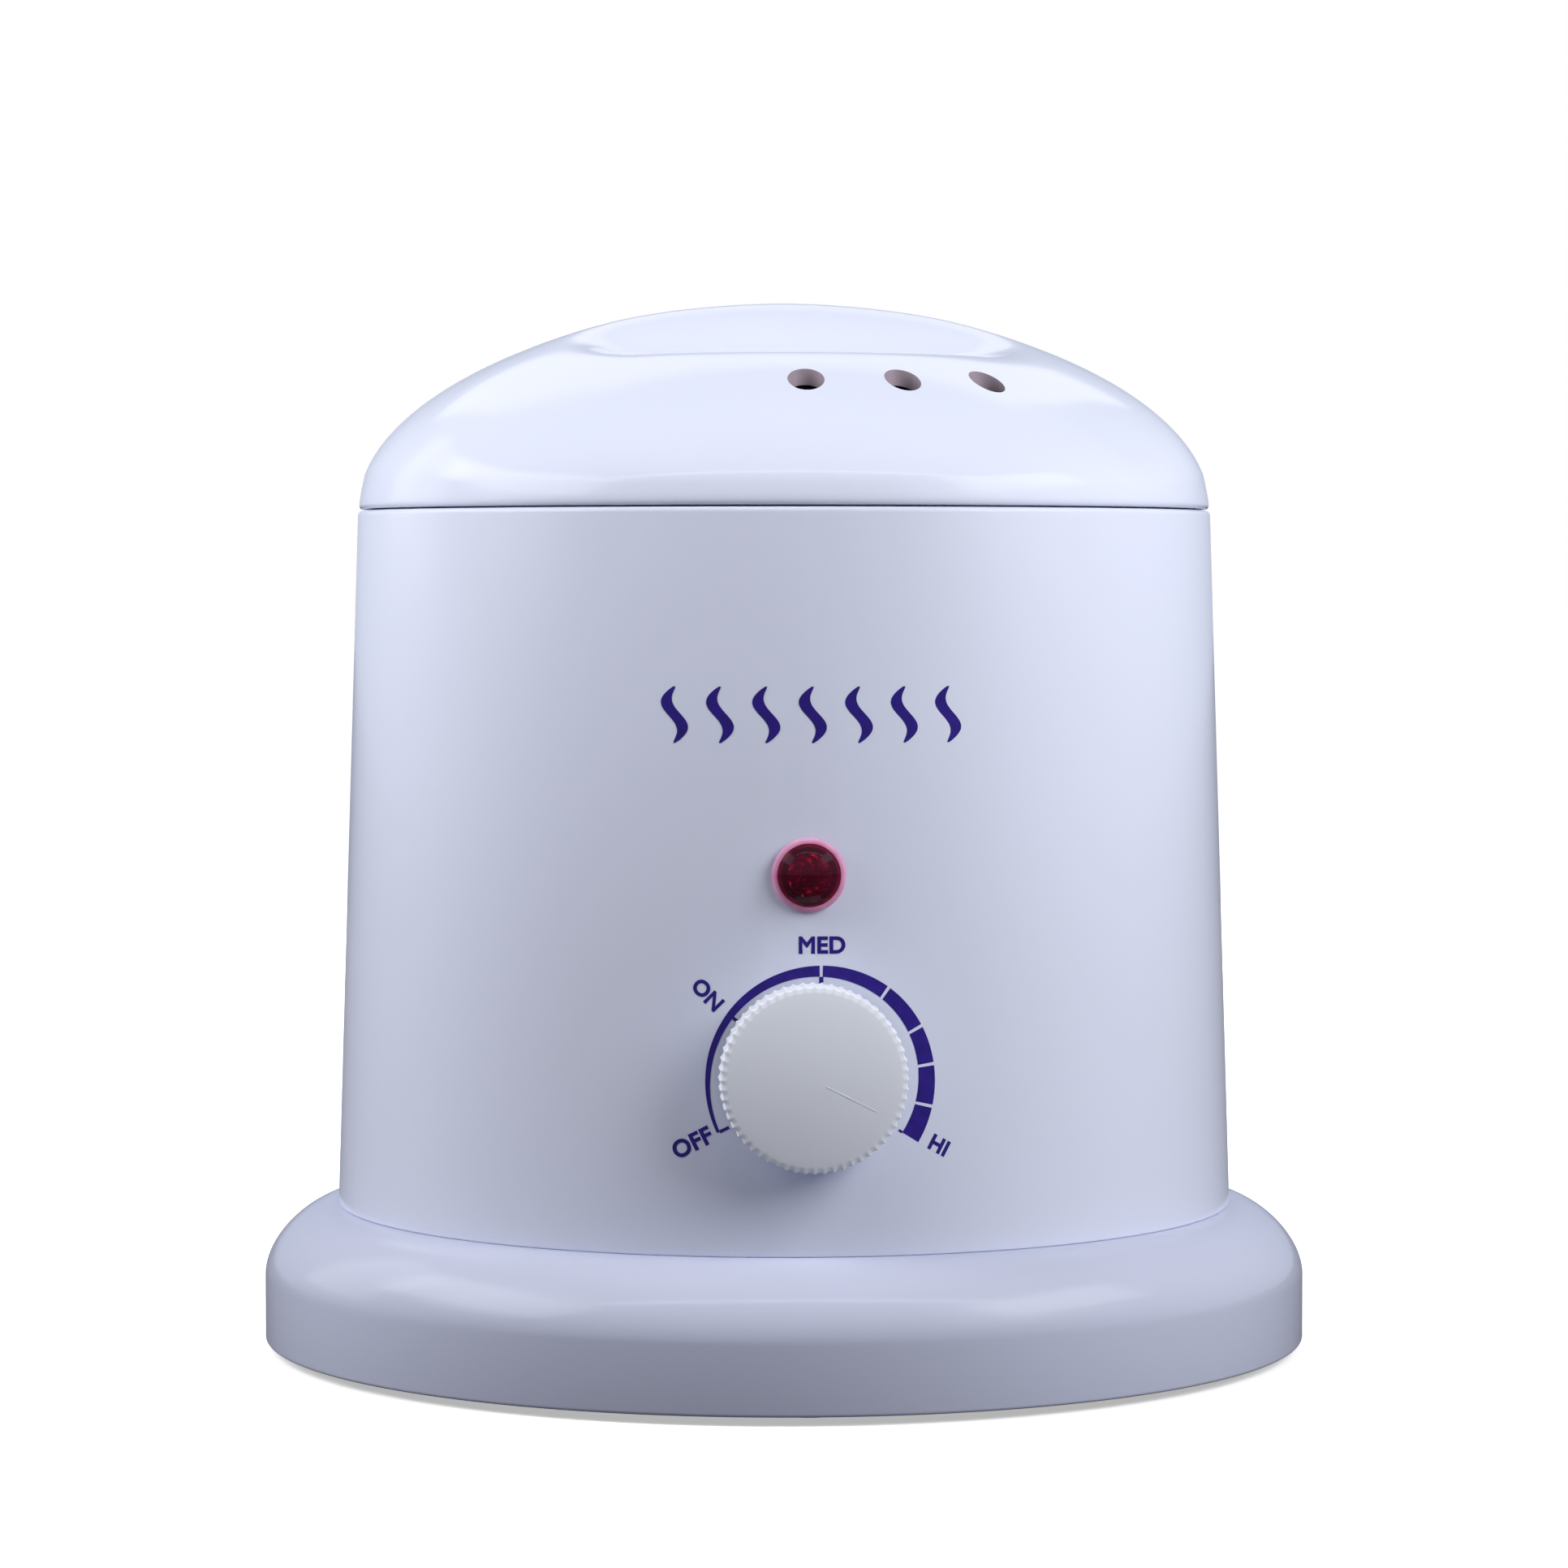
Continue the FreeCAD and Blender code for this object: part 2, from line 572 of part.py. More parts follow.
def wax_pot():
    pot = spin(cup_outline(POT_RADIUS - POT_WALL, POT_WALL, POT_FLOOR_Z, POT_CORNER,
                           POT_RIM_RADIUS, COLLAR_TOP, POT_RIM_TOP))
    hole = RIVET_RADIUS + RUNNING
    return cut_all(pot, [disc(hole, COLLAR_TOP - 1, POT_RIM_TOP + 1, x, y) for x, y in rivet_spots()])


def pot_ears():
    ears = []
    foot_top = POT_RIM_TOP + EAR_FOOT_THICK
    for side in (-1, 1):
        foot_x = sorted((side * EAR_FOOT_INNER, side * (EAR_X + EAR_THICK)))
        wall_x = sorted((side * EAR_X, side * (EAR_X + EAR_THICK)))
        foot = block(foot_x, (-EAR_FOOT_HALF, EAR_FOOT_HALF), (POT_RIM_TOP, foot_top))
        upright = block(wall_x, (-EAR_HALF_WIDTH, EAR_HALF_WIDTH), (POT_RIM_TOP, PIVOT_Z))
        crown = rod_x(EAR_HALF_WIDTH, wall_x[0], wall_x[1], 0, PIVOT_Z)
        ears.append(fuse_all([foot, upright, crown]))
    hole = RIVET_RADIUS + RUNNING
    holes = [disc(hole, POT_RIM_TOP - 1, foot_top + 1, x, y) for x, y in rivet_spots()]
    holes.append(rod_x(WIRE_RADIUS + RUNNING, -LID_RADIUS, LID_RADIUS, 0, PIVOT_Z))
    return Part.makeCompound([cut_all(ear, holes) for ear in ears])


def ear_rivets():
    head_low = POT_RIM_TOP + EAR_FOOT_THICK
    rivets = []
    for x, y in rivet_spots():
        shank = disc(RIVET_RADIUS, COLLAR_TOP, head_low, x, y)
        head = disc(RIVET_HEAD[0], head_low, head_low + RIVET_HEAD[1], x, y)
        rivets.append(shank.fuse(head).removeSplitter())
    return Part.makeCompound(rivets)


def bail_handle():
    """Wire bail: a half circle whose ends turn in through the ears."""
    straight = BAIL_RADIUS - BAIL_BEND
    diagonal = BAIL_BEND * math.sqrt(0.5)
    stops = [(straight, 0), (straight + diagonal, BAIL_BEND - diagonal), (BAIL_RADIUS, BAIL_BEND)]
    right = [Vector(x, y, PIVOT_Z) for x, y in stops]
    left = [Vector(-x, y, PIVOT_Z) for x, y in stops]
    crown = Vector(0, BAIL_BEND + BAIL_RADIUS, PIVOT_Z)
    right_tip = Vector(BAIL_TIP, 0, PIVOT_Z)
    left_tip = Vector(-BAIL_TIP, 0, PIVOT_Z)
    edges = [Part.LineSegment(right_tip, right[0]).toShape(), Part.Arc(*right).toShape(),
             Part.Arc(right[2], crown, left[2]).toShape(), Part.Arc(*reversed(left)).toShape(),
             Part.LineSegment(left[0], left_tip).toShape()]
    section = Part.Wire(Part.makeCircle(WIRE_RADIUS, right_tip, X_AXIS))
    return Part.Wire(edges).makePipeShell([section], True, False)


# ---------------------------------------------------------------- lid
def dome_height(radius):
    """Height of the full dome, close enough to place the grip's crest."""
    return LID_SPRING_Z + (LID_TOP - LID_SPRING_Z) * math.sqrt(max(0.0, 1 - (radius / LID_RADIUS) ** 2))


def dome(inset):
    """Solid under the full dome, moved inwards by the inset."""
    radius = LID_RADIUS - inset
    rise = LID_TOP - LID_SPRING_Z - inset
    low = LID_BOTTOM
    edges = path((0, LID_SPRING_Z + rise), (0, low), (radius, low), (radius, LID_SPRING_Z))
    edges.append(curve((radius, LID_SPRING_Z), (radius, LID_SPRING_Z + rise * DOME_HANDLE),
                       (radius * DOME_HANDLE, LID_SPRING_Z + rise), (0, LID_SPRING_Z + rise)))
    return spin(edges)


def scooped(inset):
    """Solid under the scooped front and back: a flatter skirt, a high ring and a valley."""
    radius = LID_RADIUS - inset * 1.3
    ring_z = SCOOP_RING_Z - inset
    valley = VALLEY_Z - inset
    rim_pull, ring_pull = SCOOP_HANDLES
    edges = path((0, valley), (0, LID_BOTTOM), (radius, LID_BOTTOM), (radius, LID_SPRING_Z))
    edges.append(curve((radius, LID_SPRING_Z), (radius, LID_SPRING_Z + rim_pull),
                       (SCOOP_RING_RADIUS + ring_pull, ring_z), (SCOOP_RING_RADIUS, ring_z)))
    edges.append(curve((SCOOP_RING_RADIUS, ring_z), (22, ring_z), (15, valley), (0, valley)))
    return spin(edges)


def grip_section(along, half_width, inset):
    """Trapezium across the grip at a distance along it."""
    crest = dome_height(along)
    top = crest + half_width - inset - 0.8
    low = LID_BOTTOM
    narrow = 0.8
    wide = narrow + top - low
    corners = [(-wide, low), (wide, low), (narrow, top), (-narrow, top), (-wide, low)]
    return Part.makePolygon([Vector(along, y, z) for y, z in corners])


def grip(inset):
    """Bar across the lid, flared into the dome at its ends."""
    whole = None
    for side in (-1, 1):
        sections = [grip_section(side * along, half, inset) for along, half in GRIP_HALF_WIDTHS]
        for first, last in zip(sections, sections[1:]):
            piece = Part.makeLoft([first, last], True, True)
            whole = piece if whole is None else whole.fuse(piece)
    return whole


def lid_form(inset):
    return dome(inset).common(scooped(inset).fuse(grip(inset)))


def lid():
    skin = lid_form(0).cut(lid_form(LID_WALL))
    lip = ring(LIP_INNER, LIP_OUTER, COLLAR_TOP, LID_SPRING_Z + 1.2)
    land = ring(LIP_INNER, LID_RADIUS - 1.0, LID_BOTTOM, LID_SPRING_Z + 0.6)
    body = fuse_all([skin, lip, land])
    holes = []
    for step in (-1, 0, 1):
        angle = -90 + STEAM_HOLE_TURN - GRIP_TURN + step * STEAM_HOLE_SPACING
        spot = polar(STEAM_HOLE_CIRCLE, angle)
        holes.append(disc(STEAM_HOLE_RADIUS, 150, 190, spot.x, spot.y))
    body = cut_all(body, holes)
    return body.rotate(ORIGIN, Z_AXIS, GRIP_TURN)


# ---------------------------------------------------------------- control
def thermostat_body():
    half_x, half_z = THERMOSTAT_HALF
    case = block((KNOB_X - half_x, KNOB_X + half_x), (THERMOSTAT_FRONT, THERMOSTAT_BACK),
                 (KNOB_Z - half_z, KNOB_Z + half_z))
    spacer = rod_y(SPACER_RADIUS, SPACER_FRONT, THERMOSTAT_FRONT, KNOB_X, KNOB_Z)
    bushing = rod_y(BUSHING_RADIUS, BUSHING_FRONT, SPACER_FRONT, KNOB_X, KNOB_Z)
    bore = rod_y(SPINDLE_RADIUS + RUNNING, BUSHING_FRONT - 1, SPINDLE_BACK + 0.3, KNOB_X, KNOB_Z)
    return fuse_all([case, spacer, bushing]).cut(bore)


def thermostat_bracket():
    across = (-BRACKET_HALF, BRACKET_HALF)
    top = block(across, (THERMOSTAT_BACK, BRACKET_BACK), (CHAMBER_FLOOR_Z - BRACKET_THICK, CHAMBER_FLOOR_Z))
    back = block(across, (THERMOSTAT_BACK, THERMOSTAT_BACK + BRACKET_THICK), (BRACKET_LOW, CHAMBER_FLOOR_Z))
    holes = []
    for side in (-1, 1):
        holes.append(disc(SCREW_HOLE, CHAMBER_FLOOR_Z - 3, CHAMBER_FLOOR_Z + 1,
                          side * BRACKET_SCREW_X, BRACKET_SCREW_Y))
    return cut_all(fuse_all([top, back]), holes)


def bracket_screws():
    seat = CHAMBER_FLOOR_Z - BRACKET_THICK
    screws = []
    for side in (-1, 1):
        screws.append(screw(side * BRACKET_SCREW_X, BRACKET_SCREW_Y, seat,
                            BRACKET_SCREW_HEAD, BRACKET_SCREW_LENGTH))
    return Part.makeCompound(screws)


def thermostat_tabs():
    low = KNOB_Z - THERMOSTAT_HALF[1]
    tabs = []
    for x in (-TAB_X, TAB_X):
        tabs.append(block((x - TAB_HALF_WIDTH, x + TAB_HALF_WIDTH), TAB_Y, (low - TAB_LENGTH, low)))
    return Part.makeCompound(tabs)


def spindle_flat(back, clearance):
    """Block over the D flat, from the spindle's front to a depth."""
    return block((KNOB_X - 5, KNOB_X + 5), (SPINDLE_FRONT - 1, back),
                 (KNOB_Z + SPINDLE_FLAT + clearance, KNOB_Z + 5))


def thermostat_spindle():
    shaft = rod_y(SPINDLE_RADIUS, SPINDLE_FRONT, SPINDLE_BACK, KNOB_X, KNOB_Z)
    return shaft.cut(spindle_flat(HUB_BACK + 0.3, 0))


def bushing_hole():
    return rod_y(BUSHING_RADIUS + RUNNING, -BASE_RADIUS, THERMOSTAT_FRONT, KNOB_X, KNOB_Z)


def bushing_washer():
    washer = rod_y(WASHER_RADIUS, BUSHING_SEAT - WASHER_THICK, BUSHING_SEAT, KNOB_X, KNOB_Z)
    return washer.cut(bushing_hole())


def bushing_nut():
    back = BUSHING_SEAT - WASHER_THICK
    nut = hexagon(NUT_ACROSS_FLATS, back - NUT_THICK, back, KNOB_X, KNOB_Z)
    return nut.cut(bushing_hole())


def knob_outline(front):
    """Closed wire of shallow scallops round the knob."""
    step = 360.0 / KNOB_TEETH
    edges = []
    for tooth in range(KNOB_TEETH):
        marks = []
        for share, radius in ((0, KNOB_RADIUS), (0.5, KNOB_RADIUS - KNOB_TOOTH_DEPTH), (1, KNOB_RADIUS)):
            angle = math.radians((tooth + share) * step)
            x = KNOB_X + radius * math.cos(angle)
            marks.append(Vector(x, front, KNOB_Z + radius * math.sin(angle)))
        edges.append(Part.Arc(*marks).toShape())
    return Part.Wire(edges)


def control_knob():
    depth = KNOB_BACK - KNOB_FRONT
    inner = KNOB_RADIUS - KNOB_TOOTH_DEPTH - KNOB_SKIRT
    hollow_front = KNOB_FRONT + KNOB_FACE
    middle = Vector(KNOB_X, KNOB_FRONT, KNOB_Z)
    face_radius = KNOB_RADIUS - KNOB_EDGE
    body = Part.Face(knob_outline(KNOB_FRONT)).extrude(Vector(0, depth, 0))
    body = body.common(Part.makeCone(face_radius, face_radius + depth, depth, middle, Y_AXIS))
    body = body.cut(rod_y(inner, hollow_front, KNOB_BACK + 1, KNOB_X, KNOB_Z))
    body = body.fuse(rod_y(HUB_RADIUS, hollow_front - 0.2, HUB_BACK, KNOB_X, KNOB_Z))
    bore = rod_y(SPINDLE_RADIUS + RUNNING, SPINDLE_FRONT - 0.1, HUB_BACK + 1, KNOB_X, KNOB_Z)
    body = body.cut(bore.cut(spindle_flat(HUB_BACK + 2, RUNNING)))
    low, high = POINTER_REACH
    groove = block((KNOB_X - 0.25, KNOB_X + 0.25), (KNOB_FRONT - 1, KNOB_FRONT + POINTER_DEPTH),
                   (KNOB_Z + low, KNOB_Z + high))
    groove = groove.rotate(middle, Y_AXIS, POINTER_ANGLE)
    return body.cut(groove).removeSplitter()


# ---------------------------------------------------------------- indicator lamp
def indicator_lens():
    seat = -shell_radius(LAMP_Z - LAMP_FLANGE_RADIUS) - 0.02
    base = seat - LAMP_FLANGE_THICK
    flange = rod_y(LAMP_FLANGE_RADIUS, base, seat, 0, LAMP_Z)
    stem = rod_y(LAMP_STEM_RADIUS, seat, LAMP_STEM_BACK, 0, LAMP_Z)
    ball_radius = (LAMP_DOME_RADIUS ** 2 + LAMP_DOME_HEIGHT ** 2) / (2 * LAMP_DOME_HEIGHT)
    ball = Part.makeSphere(ball_radius, Vector(0, base + ball_radius - LAMP_DOME_HEIGHT, LAMP_Z))
    cap = ball.common(rod_y(LAMP_FLANGE_RADIUS, base - 10, base, 0, LAMP_Z))
    body = fuse_all([flange, stem, cap])
    return body.cut(rod_y(NEON_RADIUS + 0.4, seat + 0.3, THERMOSTAT_FRONT, 0, LAMP_Z))


def indicator_clip():
    inner_wall = -(shell_radius(LAMP_Z) - WALL)
    front = inner_wall + 0.55
    clip = rod_y(LAMP_CLIP_RADIUS, front, front + LAMP_CLIP_THICK, 0, LAMP_Z)
    return clip.cut(rod_y(LAMP_STEM_RADIUS + RUNNING, front - 1, THERMOSTAT_FRONT, 0, LAMP_Z))


def neon_lamp():
    front, back = NEON_Y
    glass = rod_y(NEON_RADIUS, front, back, 0, LAMP_Z)
    pinch = block((-2.4, 2.4), (back, back + 2), (LAMP_Z - 0.9, LAMP_Z + 0.9))
    return glass.fuse(pinch)


# ---------------------------------------------------------------- wiring
def fuse_z():
    return CHAMBER_FLOOR_Z - FUSE_RADIUS - 0.3


def thermal_fuse():
    return rod_x(FUSE_RADIUS, -FUSE_HALF_LENGTH, FUSE_HALF_LENGTH, FUSE_Y, fuse_z())


def fuse_clip():
    half, reach = FUSE_CLIP_HALF
    across = (-half, half)
    saddle = block(across, (FUSE_Y - 3.2, FUSE_Y + 3.2), (fuse_z() - 3.0, CHAMBER_FLOOR_Z))
    wings = block(across, (FUSE_Y - reach, FUSE_Y + reach), (CHAMBER_FLOOR_Z - TAG_THICK, CHAMBER_FLOOR_Z))
    return fuse_all([saddle, wings]).cut(rod_x(FUSE_RADIUS + RUNNING, -reach, reach, FUSE_Y, fuse_z()))


def earth_tag():
    low = CHAMBER_FLOOR_Z - TAG_THICK
    eye = disc(TAG_RADIUS, low, CHAMBER_FLOOR_Z, EARTH_X, FUSE_Y)
    tongue = block((EARTH_X, EARTH_X + TAG_REACH), (FUSE_Y - 2, FUSE_Y + 2), (low, CHAMBER_FLOOR_Z))
    return fuse_all([eye, tongue]).cut(disc(SCREW_HOLE, low - 1, CHAMBER_FLOOR_Z + 1, EARTH_X, FUSE_Y))


def earth_screw():
    return screw(EARTH_X, FUSE_Y, CHAMBER_FLOOR_Z - TAG_THICK, EARTH_SCREW_HEAD, EARTH_SCREW_LENGTH)


def terminal_block():
    low = BOTTOM_PLATE_Z + BOTTOM_PLATE_THICK
    body = block(BLOCK_X, BLOCK_Y, (low, BLOCK_TOP))
    tools = []
    for x in BLOCK_WAYS:
        tools.append(rod_y(BLOCK_BORE, BLOCK_Y[0] - 1, BLOCK_Y[1] + 1, x, WIRE_WAY_Z))
        for y in BLOCK_SCREW_ROWS:
            tools.append(disc(BLOCK_SCREW_RADIUS + RUNNING, WIRE_WAY_Z, BLOCK_TOP + 1, x, y))
    return cut_all(body, tools)


def terminal_screws():
    screws = []
    for x in BLOCK_WAYS:
        for y in BLOCK_SCREW_ROWS:
            head = disc(BLOCK_SCREW_RADIUS, WIRE_WAY_Z + 1.0, BLOCK_TOP - 0.6, x, y)
            slot = block((x - 3, x + 3), (y - 0.25, y + 0.25), (BLOCK_TOP - 1.4, BLOCK_TOP))
            screws.append(head.cut(slot))
    return Part.makeCompound(screws)


def heater_tab_spot(degrees):
    return polar(CHAMBER_RADIUS + RUNNING + 3.2, degrees, HEATER_Z[0] - HEATER_TAB_DROP)


def tab_low():
    return KNOB_Z - THERMOSTAT_HALF[1] - TAB_LENGTH


def live_wire():
    return lead([(10, 27, WIRE_WAY_Z), (10, 6, WIRE_WAY_Z), (9, -20, 12), (7, -42, 18),
                 (TAB_X, -52, 26), (TAB_X, -52, tab_low())])


def thermostat_wire():
    return lead([(-TAB_X, -52, tab_low()), (-TAB_X, -52, 28), (-13, -42, 22), (-20, -20, 30),
                 (-22, 0, 46), (-20, 9, 62), (-15, FUSE_Y, fuse_z()), (-FUSE_HALF_LENGTH, FUSE_Y, fuse_z())])


def heater_wire():
    end = heater_tab_spot(HEATER_TAB_ANGLES[0])
    return lead([(FUSE_HALF_LENGTH, FUSE_Y, fuse_z()), (14, FUSE_Y, fuse_z()), (18, 22, 63), (20, 42, 56),
                 (15, 57, 60), (end.x, end.y, 76), (end.x, end.y, end.z)])


def neutral_wire():
    end = heater_tab_spot(HEATER_TAB_ANGLES[1])
    return lead([(-10, 33, WIRE_WAY_Z), (-10, 46, WIRE_WAY_Z), (-12, 56, 17), (-14, 60, 34),
                 (-13, 60, 56), (end.x, end.y, 76), (end.x, end.y, end.z)])


def earth_wire():
    tongue = EARTH_X + 7
    return lead([(0, 27, WIRE_WAY_Z), (0, 12, WIRE_WAY_Z), (7, 2, 14), (20, 0, 26),
                 (28, 5, 42), (tongue, FUSE_Y, 56), (tongue, FUSE_Y, CHAMBER_FLOOR_Z - TAG_THICK)])


def lamp_leads():
    to_neutral = lead([(-1.4, -65, LAMP_Z), (-1.4, -61.8, LAMP_Z), (-5, -61.5, 80), (-14, -64, 70),
                       (-18, -58, 54), (-19, -44, 36), (-17, -20, 16), (-10, 2, WIRE_WAY_Z),
                       (-10, 25, WIRE_WAY_Z)], THIN_LEAD_RADIUS)
    to_thermostat = lead([(1.4, -65, LAMP_Z), (1.4, -61.8, LAMP_Z), (5, -61.5, 80), (14, -64, 70),
                          (18, -58, 54), (17, -46, 42), (12, -38, 38), (7, -40, 38.5),
                          (7, -51.6, 38.5)], THIN_LEAD_RADIUS)
    return Part.makeCompound([to_neutral, to_thermostat])


# ---------------------------------------------------------------- write every node
NODES = {
    "rubber_feet": rubber_feet,
    "bottom_plate": bottom_plate,
    "bottom_screws": bottom_screws,
    "base_flange": base_flange,
    "cord_grommet": cord_grommet,
    "outer_shell": outer_shell,
    "shell_screws": shell_screws,
    "top_collar": top_collar,
    "heating_chamber": heating_chamber,
    "chamber_screws": chamber_screws,
    "heater_band": heater_band,
    "heater_clamp": heater_clamp,
    "clamp_screw": clamp_screw,
    "clamp_nut": clamp_nut,
    "insulation_sleeve": insulation_sleeve,
    "wax_pot": wax_pot,
    "pot_ears": pot_ears,
    "ear_rivets": ear_rivets,
    "bail_handle": bail_handle,
    "lid": lid,
    "thermostat_body": thermostat_body,
    "thermostat_bracket": thermostat_bracket,
    "bracket_screws": bracket_screws,
    "thermostat_tabs": thermostat_tabs,
    "thermostat_spindle": thermostat_spindle,
    "bushing_washer": bushing_washer,
    "bushing_nut": bushing_nut,
    "control_knob": control_knob,
    "indicator_lens": indicator_lens,
    "indicator_clip": indicator_clip,
    "neon_lamp": neon_lamp,
    "thermal_fuse": thermal_fuse,
    "fuse_clip": fuse_clip,
    "earth_tag": earth_tag,
    "earth_screw": earth_screw,
    "terminal_block": terminal_block,
    "terminal_screws": terminal_screws,
    "live_wire": live_wire,
    "thermostat_wire": thermostat_wire,
    "heater_wire": heater_wire,
    "neutral_wire": neutral_wire,
    "earth_wire": earth_wire,
    "lamp_leads": lamp_leads,
}

os.makedirs("parts", exist_ok=True)
for name, make in NODES.items():
    shape = make()
    print(f"{name:20s} solids {len(shape.Solids)} valid {shape.isValid()} volume {shape.Volume:.0f}")
    shape.exportStep(f"parts/{name}.step")
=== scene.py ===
import bisect
import json
import math

import bmesh
import bpy
from mathutils import Matrix, Vector


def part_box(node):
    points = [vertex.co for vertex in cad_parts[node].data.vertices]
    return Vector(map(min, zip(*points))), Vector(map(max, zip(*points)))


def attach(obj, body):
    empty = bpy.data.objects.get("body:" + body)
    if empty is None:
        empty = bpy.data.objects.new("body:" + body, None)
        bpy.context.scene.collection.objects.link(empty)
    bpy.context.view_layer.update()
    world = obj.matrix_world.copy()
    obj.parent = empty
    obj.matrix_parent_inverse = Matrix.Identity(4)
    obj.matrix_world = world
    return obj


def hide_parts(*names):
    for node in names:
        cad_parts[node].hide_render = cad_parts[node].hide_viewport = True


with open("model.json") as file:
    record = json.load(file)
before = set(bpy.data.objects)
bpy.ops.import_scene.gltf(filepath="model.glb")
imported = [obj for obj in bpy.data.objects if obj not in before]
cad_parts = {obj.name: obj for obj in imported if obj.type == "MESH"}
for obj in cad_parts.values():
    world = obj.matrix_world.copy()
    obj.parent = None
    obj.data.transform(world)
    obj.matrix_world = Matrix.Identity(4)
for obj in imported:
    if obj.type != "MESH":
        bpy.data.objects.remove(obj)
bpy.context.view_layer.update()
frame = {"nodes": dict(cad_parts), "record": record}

# Lengths are millimetres in the frame's own axes until a mesh is made: +Z up, the knob faces -Y.
MM = 0.001

# ---------------------------------------------------------------- sizes read from the frame


def span(node):
    """Lowest and highest corner of a CAD node in millimetres."""
    low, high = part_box(node)
    return low / MM, high / MM


SHELL_LOW, SHELL_HIGH = span("outer_shell")
BASE_LOW, BASE_HIGH = span("base_flange")
LID_HIGH = span("lid")[1]
KNOB_LOW, KNOB_HIGH = span("control_knob")
LENS_LOW, LENS_HIGH = span("indicator_lens")
POT_LOW, POT_HIGH = span("wax_pot")
COLLAR_LOW, COLLAR_HIGH = span("top_collar")
GROMMET_LOW, GROMMET_HIGH = span("cord_grommet")

SEAM_Z = SHELL_LOW.z
SHELL_TOP = SHELL_HIGH.z
SHELL_FOOT_RADIUS = SHELL_HIGH.x
SHELL_DRAFT = math.radians(1.81)
WALL = 2.5
KNOB_X = (KNOB_LOW.x + KNOB_HIGH.x) / 2
KNOB_CENTRE = (KNOB_LOW.z + KNOB_HIGH.z) / 2
KNOB_RADIUS = (KNOB_HIGH.z - KNOB_LOW.z) / 2
LENS_CENTRE = (LENS_LOW.z + LENS_HIGH.z) / 2
LENS_RADIUS = (LENS_HIGH.x - LENS_LOW.x) / 2
GROMMET_CENTRE = (GROMMET_LOW.z + GROMMET_HIGH.z) / 2

# ---------------------------------------------------------------- shape of the lid
LID_RADIUS = LID_HIGH.x
LID_TOP = LID_HIGH.z
LID_LAND_Z = SHELL_TOP + 0.25   # underside of the rim, just clear of the shell
LID_SPRING_Z = 149.85
LID_WALL = 2.4
GRIP_TURN = math.radians(6.0)   # the grip, turned from straight across
HOLE_TURN = math.radians(18.0)  # the steam holes, turned from straight ahead
DOME_POWER = 1.073
RING_RADIUS = 43.0
RING_Z = 174.6
VALLEY_Z = 173.6
SKIRT_RISE = 7.0                # pull of the skirt's curve at the rim
SKIRT_RUN = 9.0                 # and at the ring
LIP_OUTER = 72.8
LIP_INNER = 70.2
GRIP_HALF = 4.8
GRIP_FLARE = 31.4
GRIP_FLARE_POWER = 4.0
GRIP_FOLD = 6.0                 # width of the fold beside the grip
GRIP_FADE_START = 33.0          # outside this radius the fold spreads and melts into the dome
GRIP_FADE = 28.5
GRIP_FADE_RUN = 20.0
GRIP_LEAN = 1.45                # width of the fold for each millimetre of its height
CREST_SWELL = 0.37
CREST_SWELL_AT = 29.3
CREST_SWELL_WIDTH = 14.0
HOLE_RADIUS = 3.1
HOLE_CIRCLE = 55.5
HOLE_SPACING = math.radians(17.2)
STEEPEST = 1.8                  # slope past which the wall no longer thickens

# ---------------------------------------------------------------- shell, base and pot
LEDGE_INSET = 1.25              # the ledge under the collar, in from the collar's edge
LEDGE_THICK = 1.5
LEDGE_BRACE = 4.0
CUT_FRONT = -95.0               # cuts in the shell's front run between these two
CUT_BACK = -60.0
KNOB_SEAT_RADIUS = 8.0
KNOB_SEAT_Y = -78.0
BUSHING_HOLE_RADIUS = 4.8
LAMP_HOLE_RADIUS = 4.45
BASE_WALL_TOP = 13.0            # where the base's wall turns into its shoulder
SHOULDER_FULLNESS = 0.456
BASE_OPENING_RADIUS = 66.0
SPIGOT_RISE = 4.0               # ring on the base that centres the shell
SPIGOT_THICK = 2.2
GROMMET_NECK_RADIUS = 4.95
GROMMET_SEAT_RADIUS = 6.1
POT_RADIUS = 56.5
POT_CORNER = 7.0

# ---------------------------------------------------------------- lamp
DOME_RADIUS = 5.2
DOME_HEIGHT = 2.6
DOME_WALL = 0.8
BEZEL_THICK = 1.0
STEM_RADIUS = 4.4
STEM_LENGTH = 6.0

# ---------------------------------------------------------------- printed scale
DIAL_SHIFT = 2.0                # the scale is printed a little off the knob's axis
DIAL_DROP = -1.15
DIAL_RADIUS = 19.05
LABEL_BOLD = 0.13               # how far the letters' outlines are moved outwards
DIAL_THIN = 0.5
DIAL_THICK = 3.2
DIAL_OFF = -116.0
DIAL_ON = -54.0
DIAL_HIGH = 122.0
DIAL_BREAKS = (0.0, 36.1, 61.8, 81.8, 103.0)
DIAL_BREAK_WIDTH = 0.55
PRINT_LIFT = 0.05
PRINT_SINK = -0.04
MARK_DROP = 34.0                # the row of heat strokes, down from the shell's top
MARK_SHIFT = 0.7
MARK_HEIGHT = 9.2
MARK_PITCH = 7.6
MARK_STROKES = 7
MARK_SWAY = 1.35


# ---------------------------------------------------------------- mesh helpers
def link(mesh, name):
    piece = bpy.data.objects.new(name, mesh)
    bpy.context.scene.collection.objects.link(piece)
    return piece


def make_piece(name, points, faces, sharp=35):
    """Object from millimetre points, smooth except across edges sharper than the angle."""
    mesh = bpy.data.meshes.new(name)
    mesh.from_pydata([Vector(p) * MM for p in points], [], faces)
    mesh.validate()
    tidy = bmesh.new()
    tidy.from_mesh(mesh)
    bmesh.ops.recalc_face_normals(tidy, faces=tidy.faces)
    tidy.to_mesh(mesh)
    tidy.free()
    shade(mesh, sharp)
    return link(mesh, name)


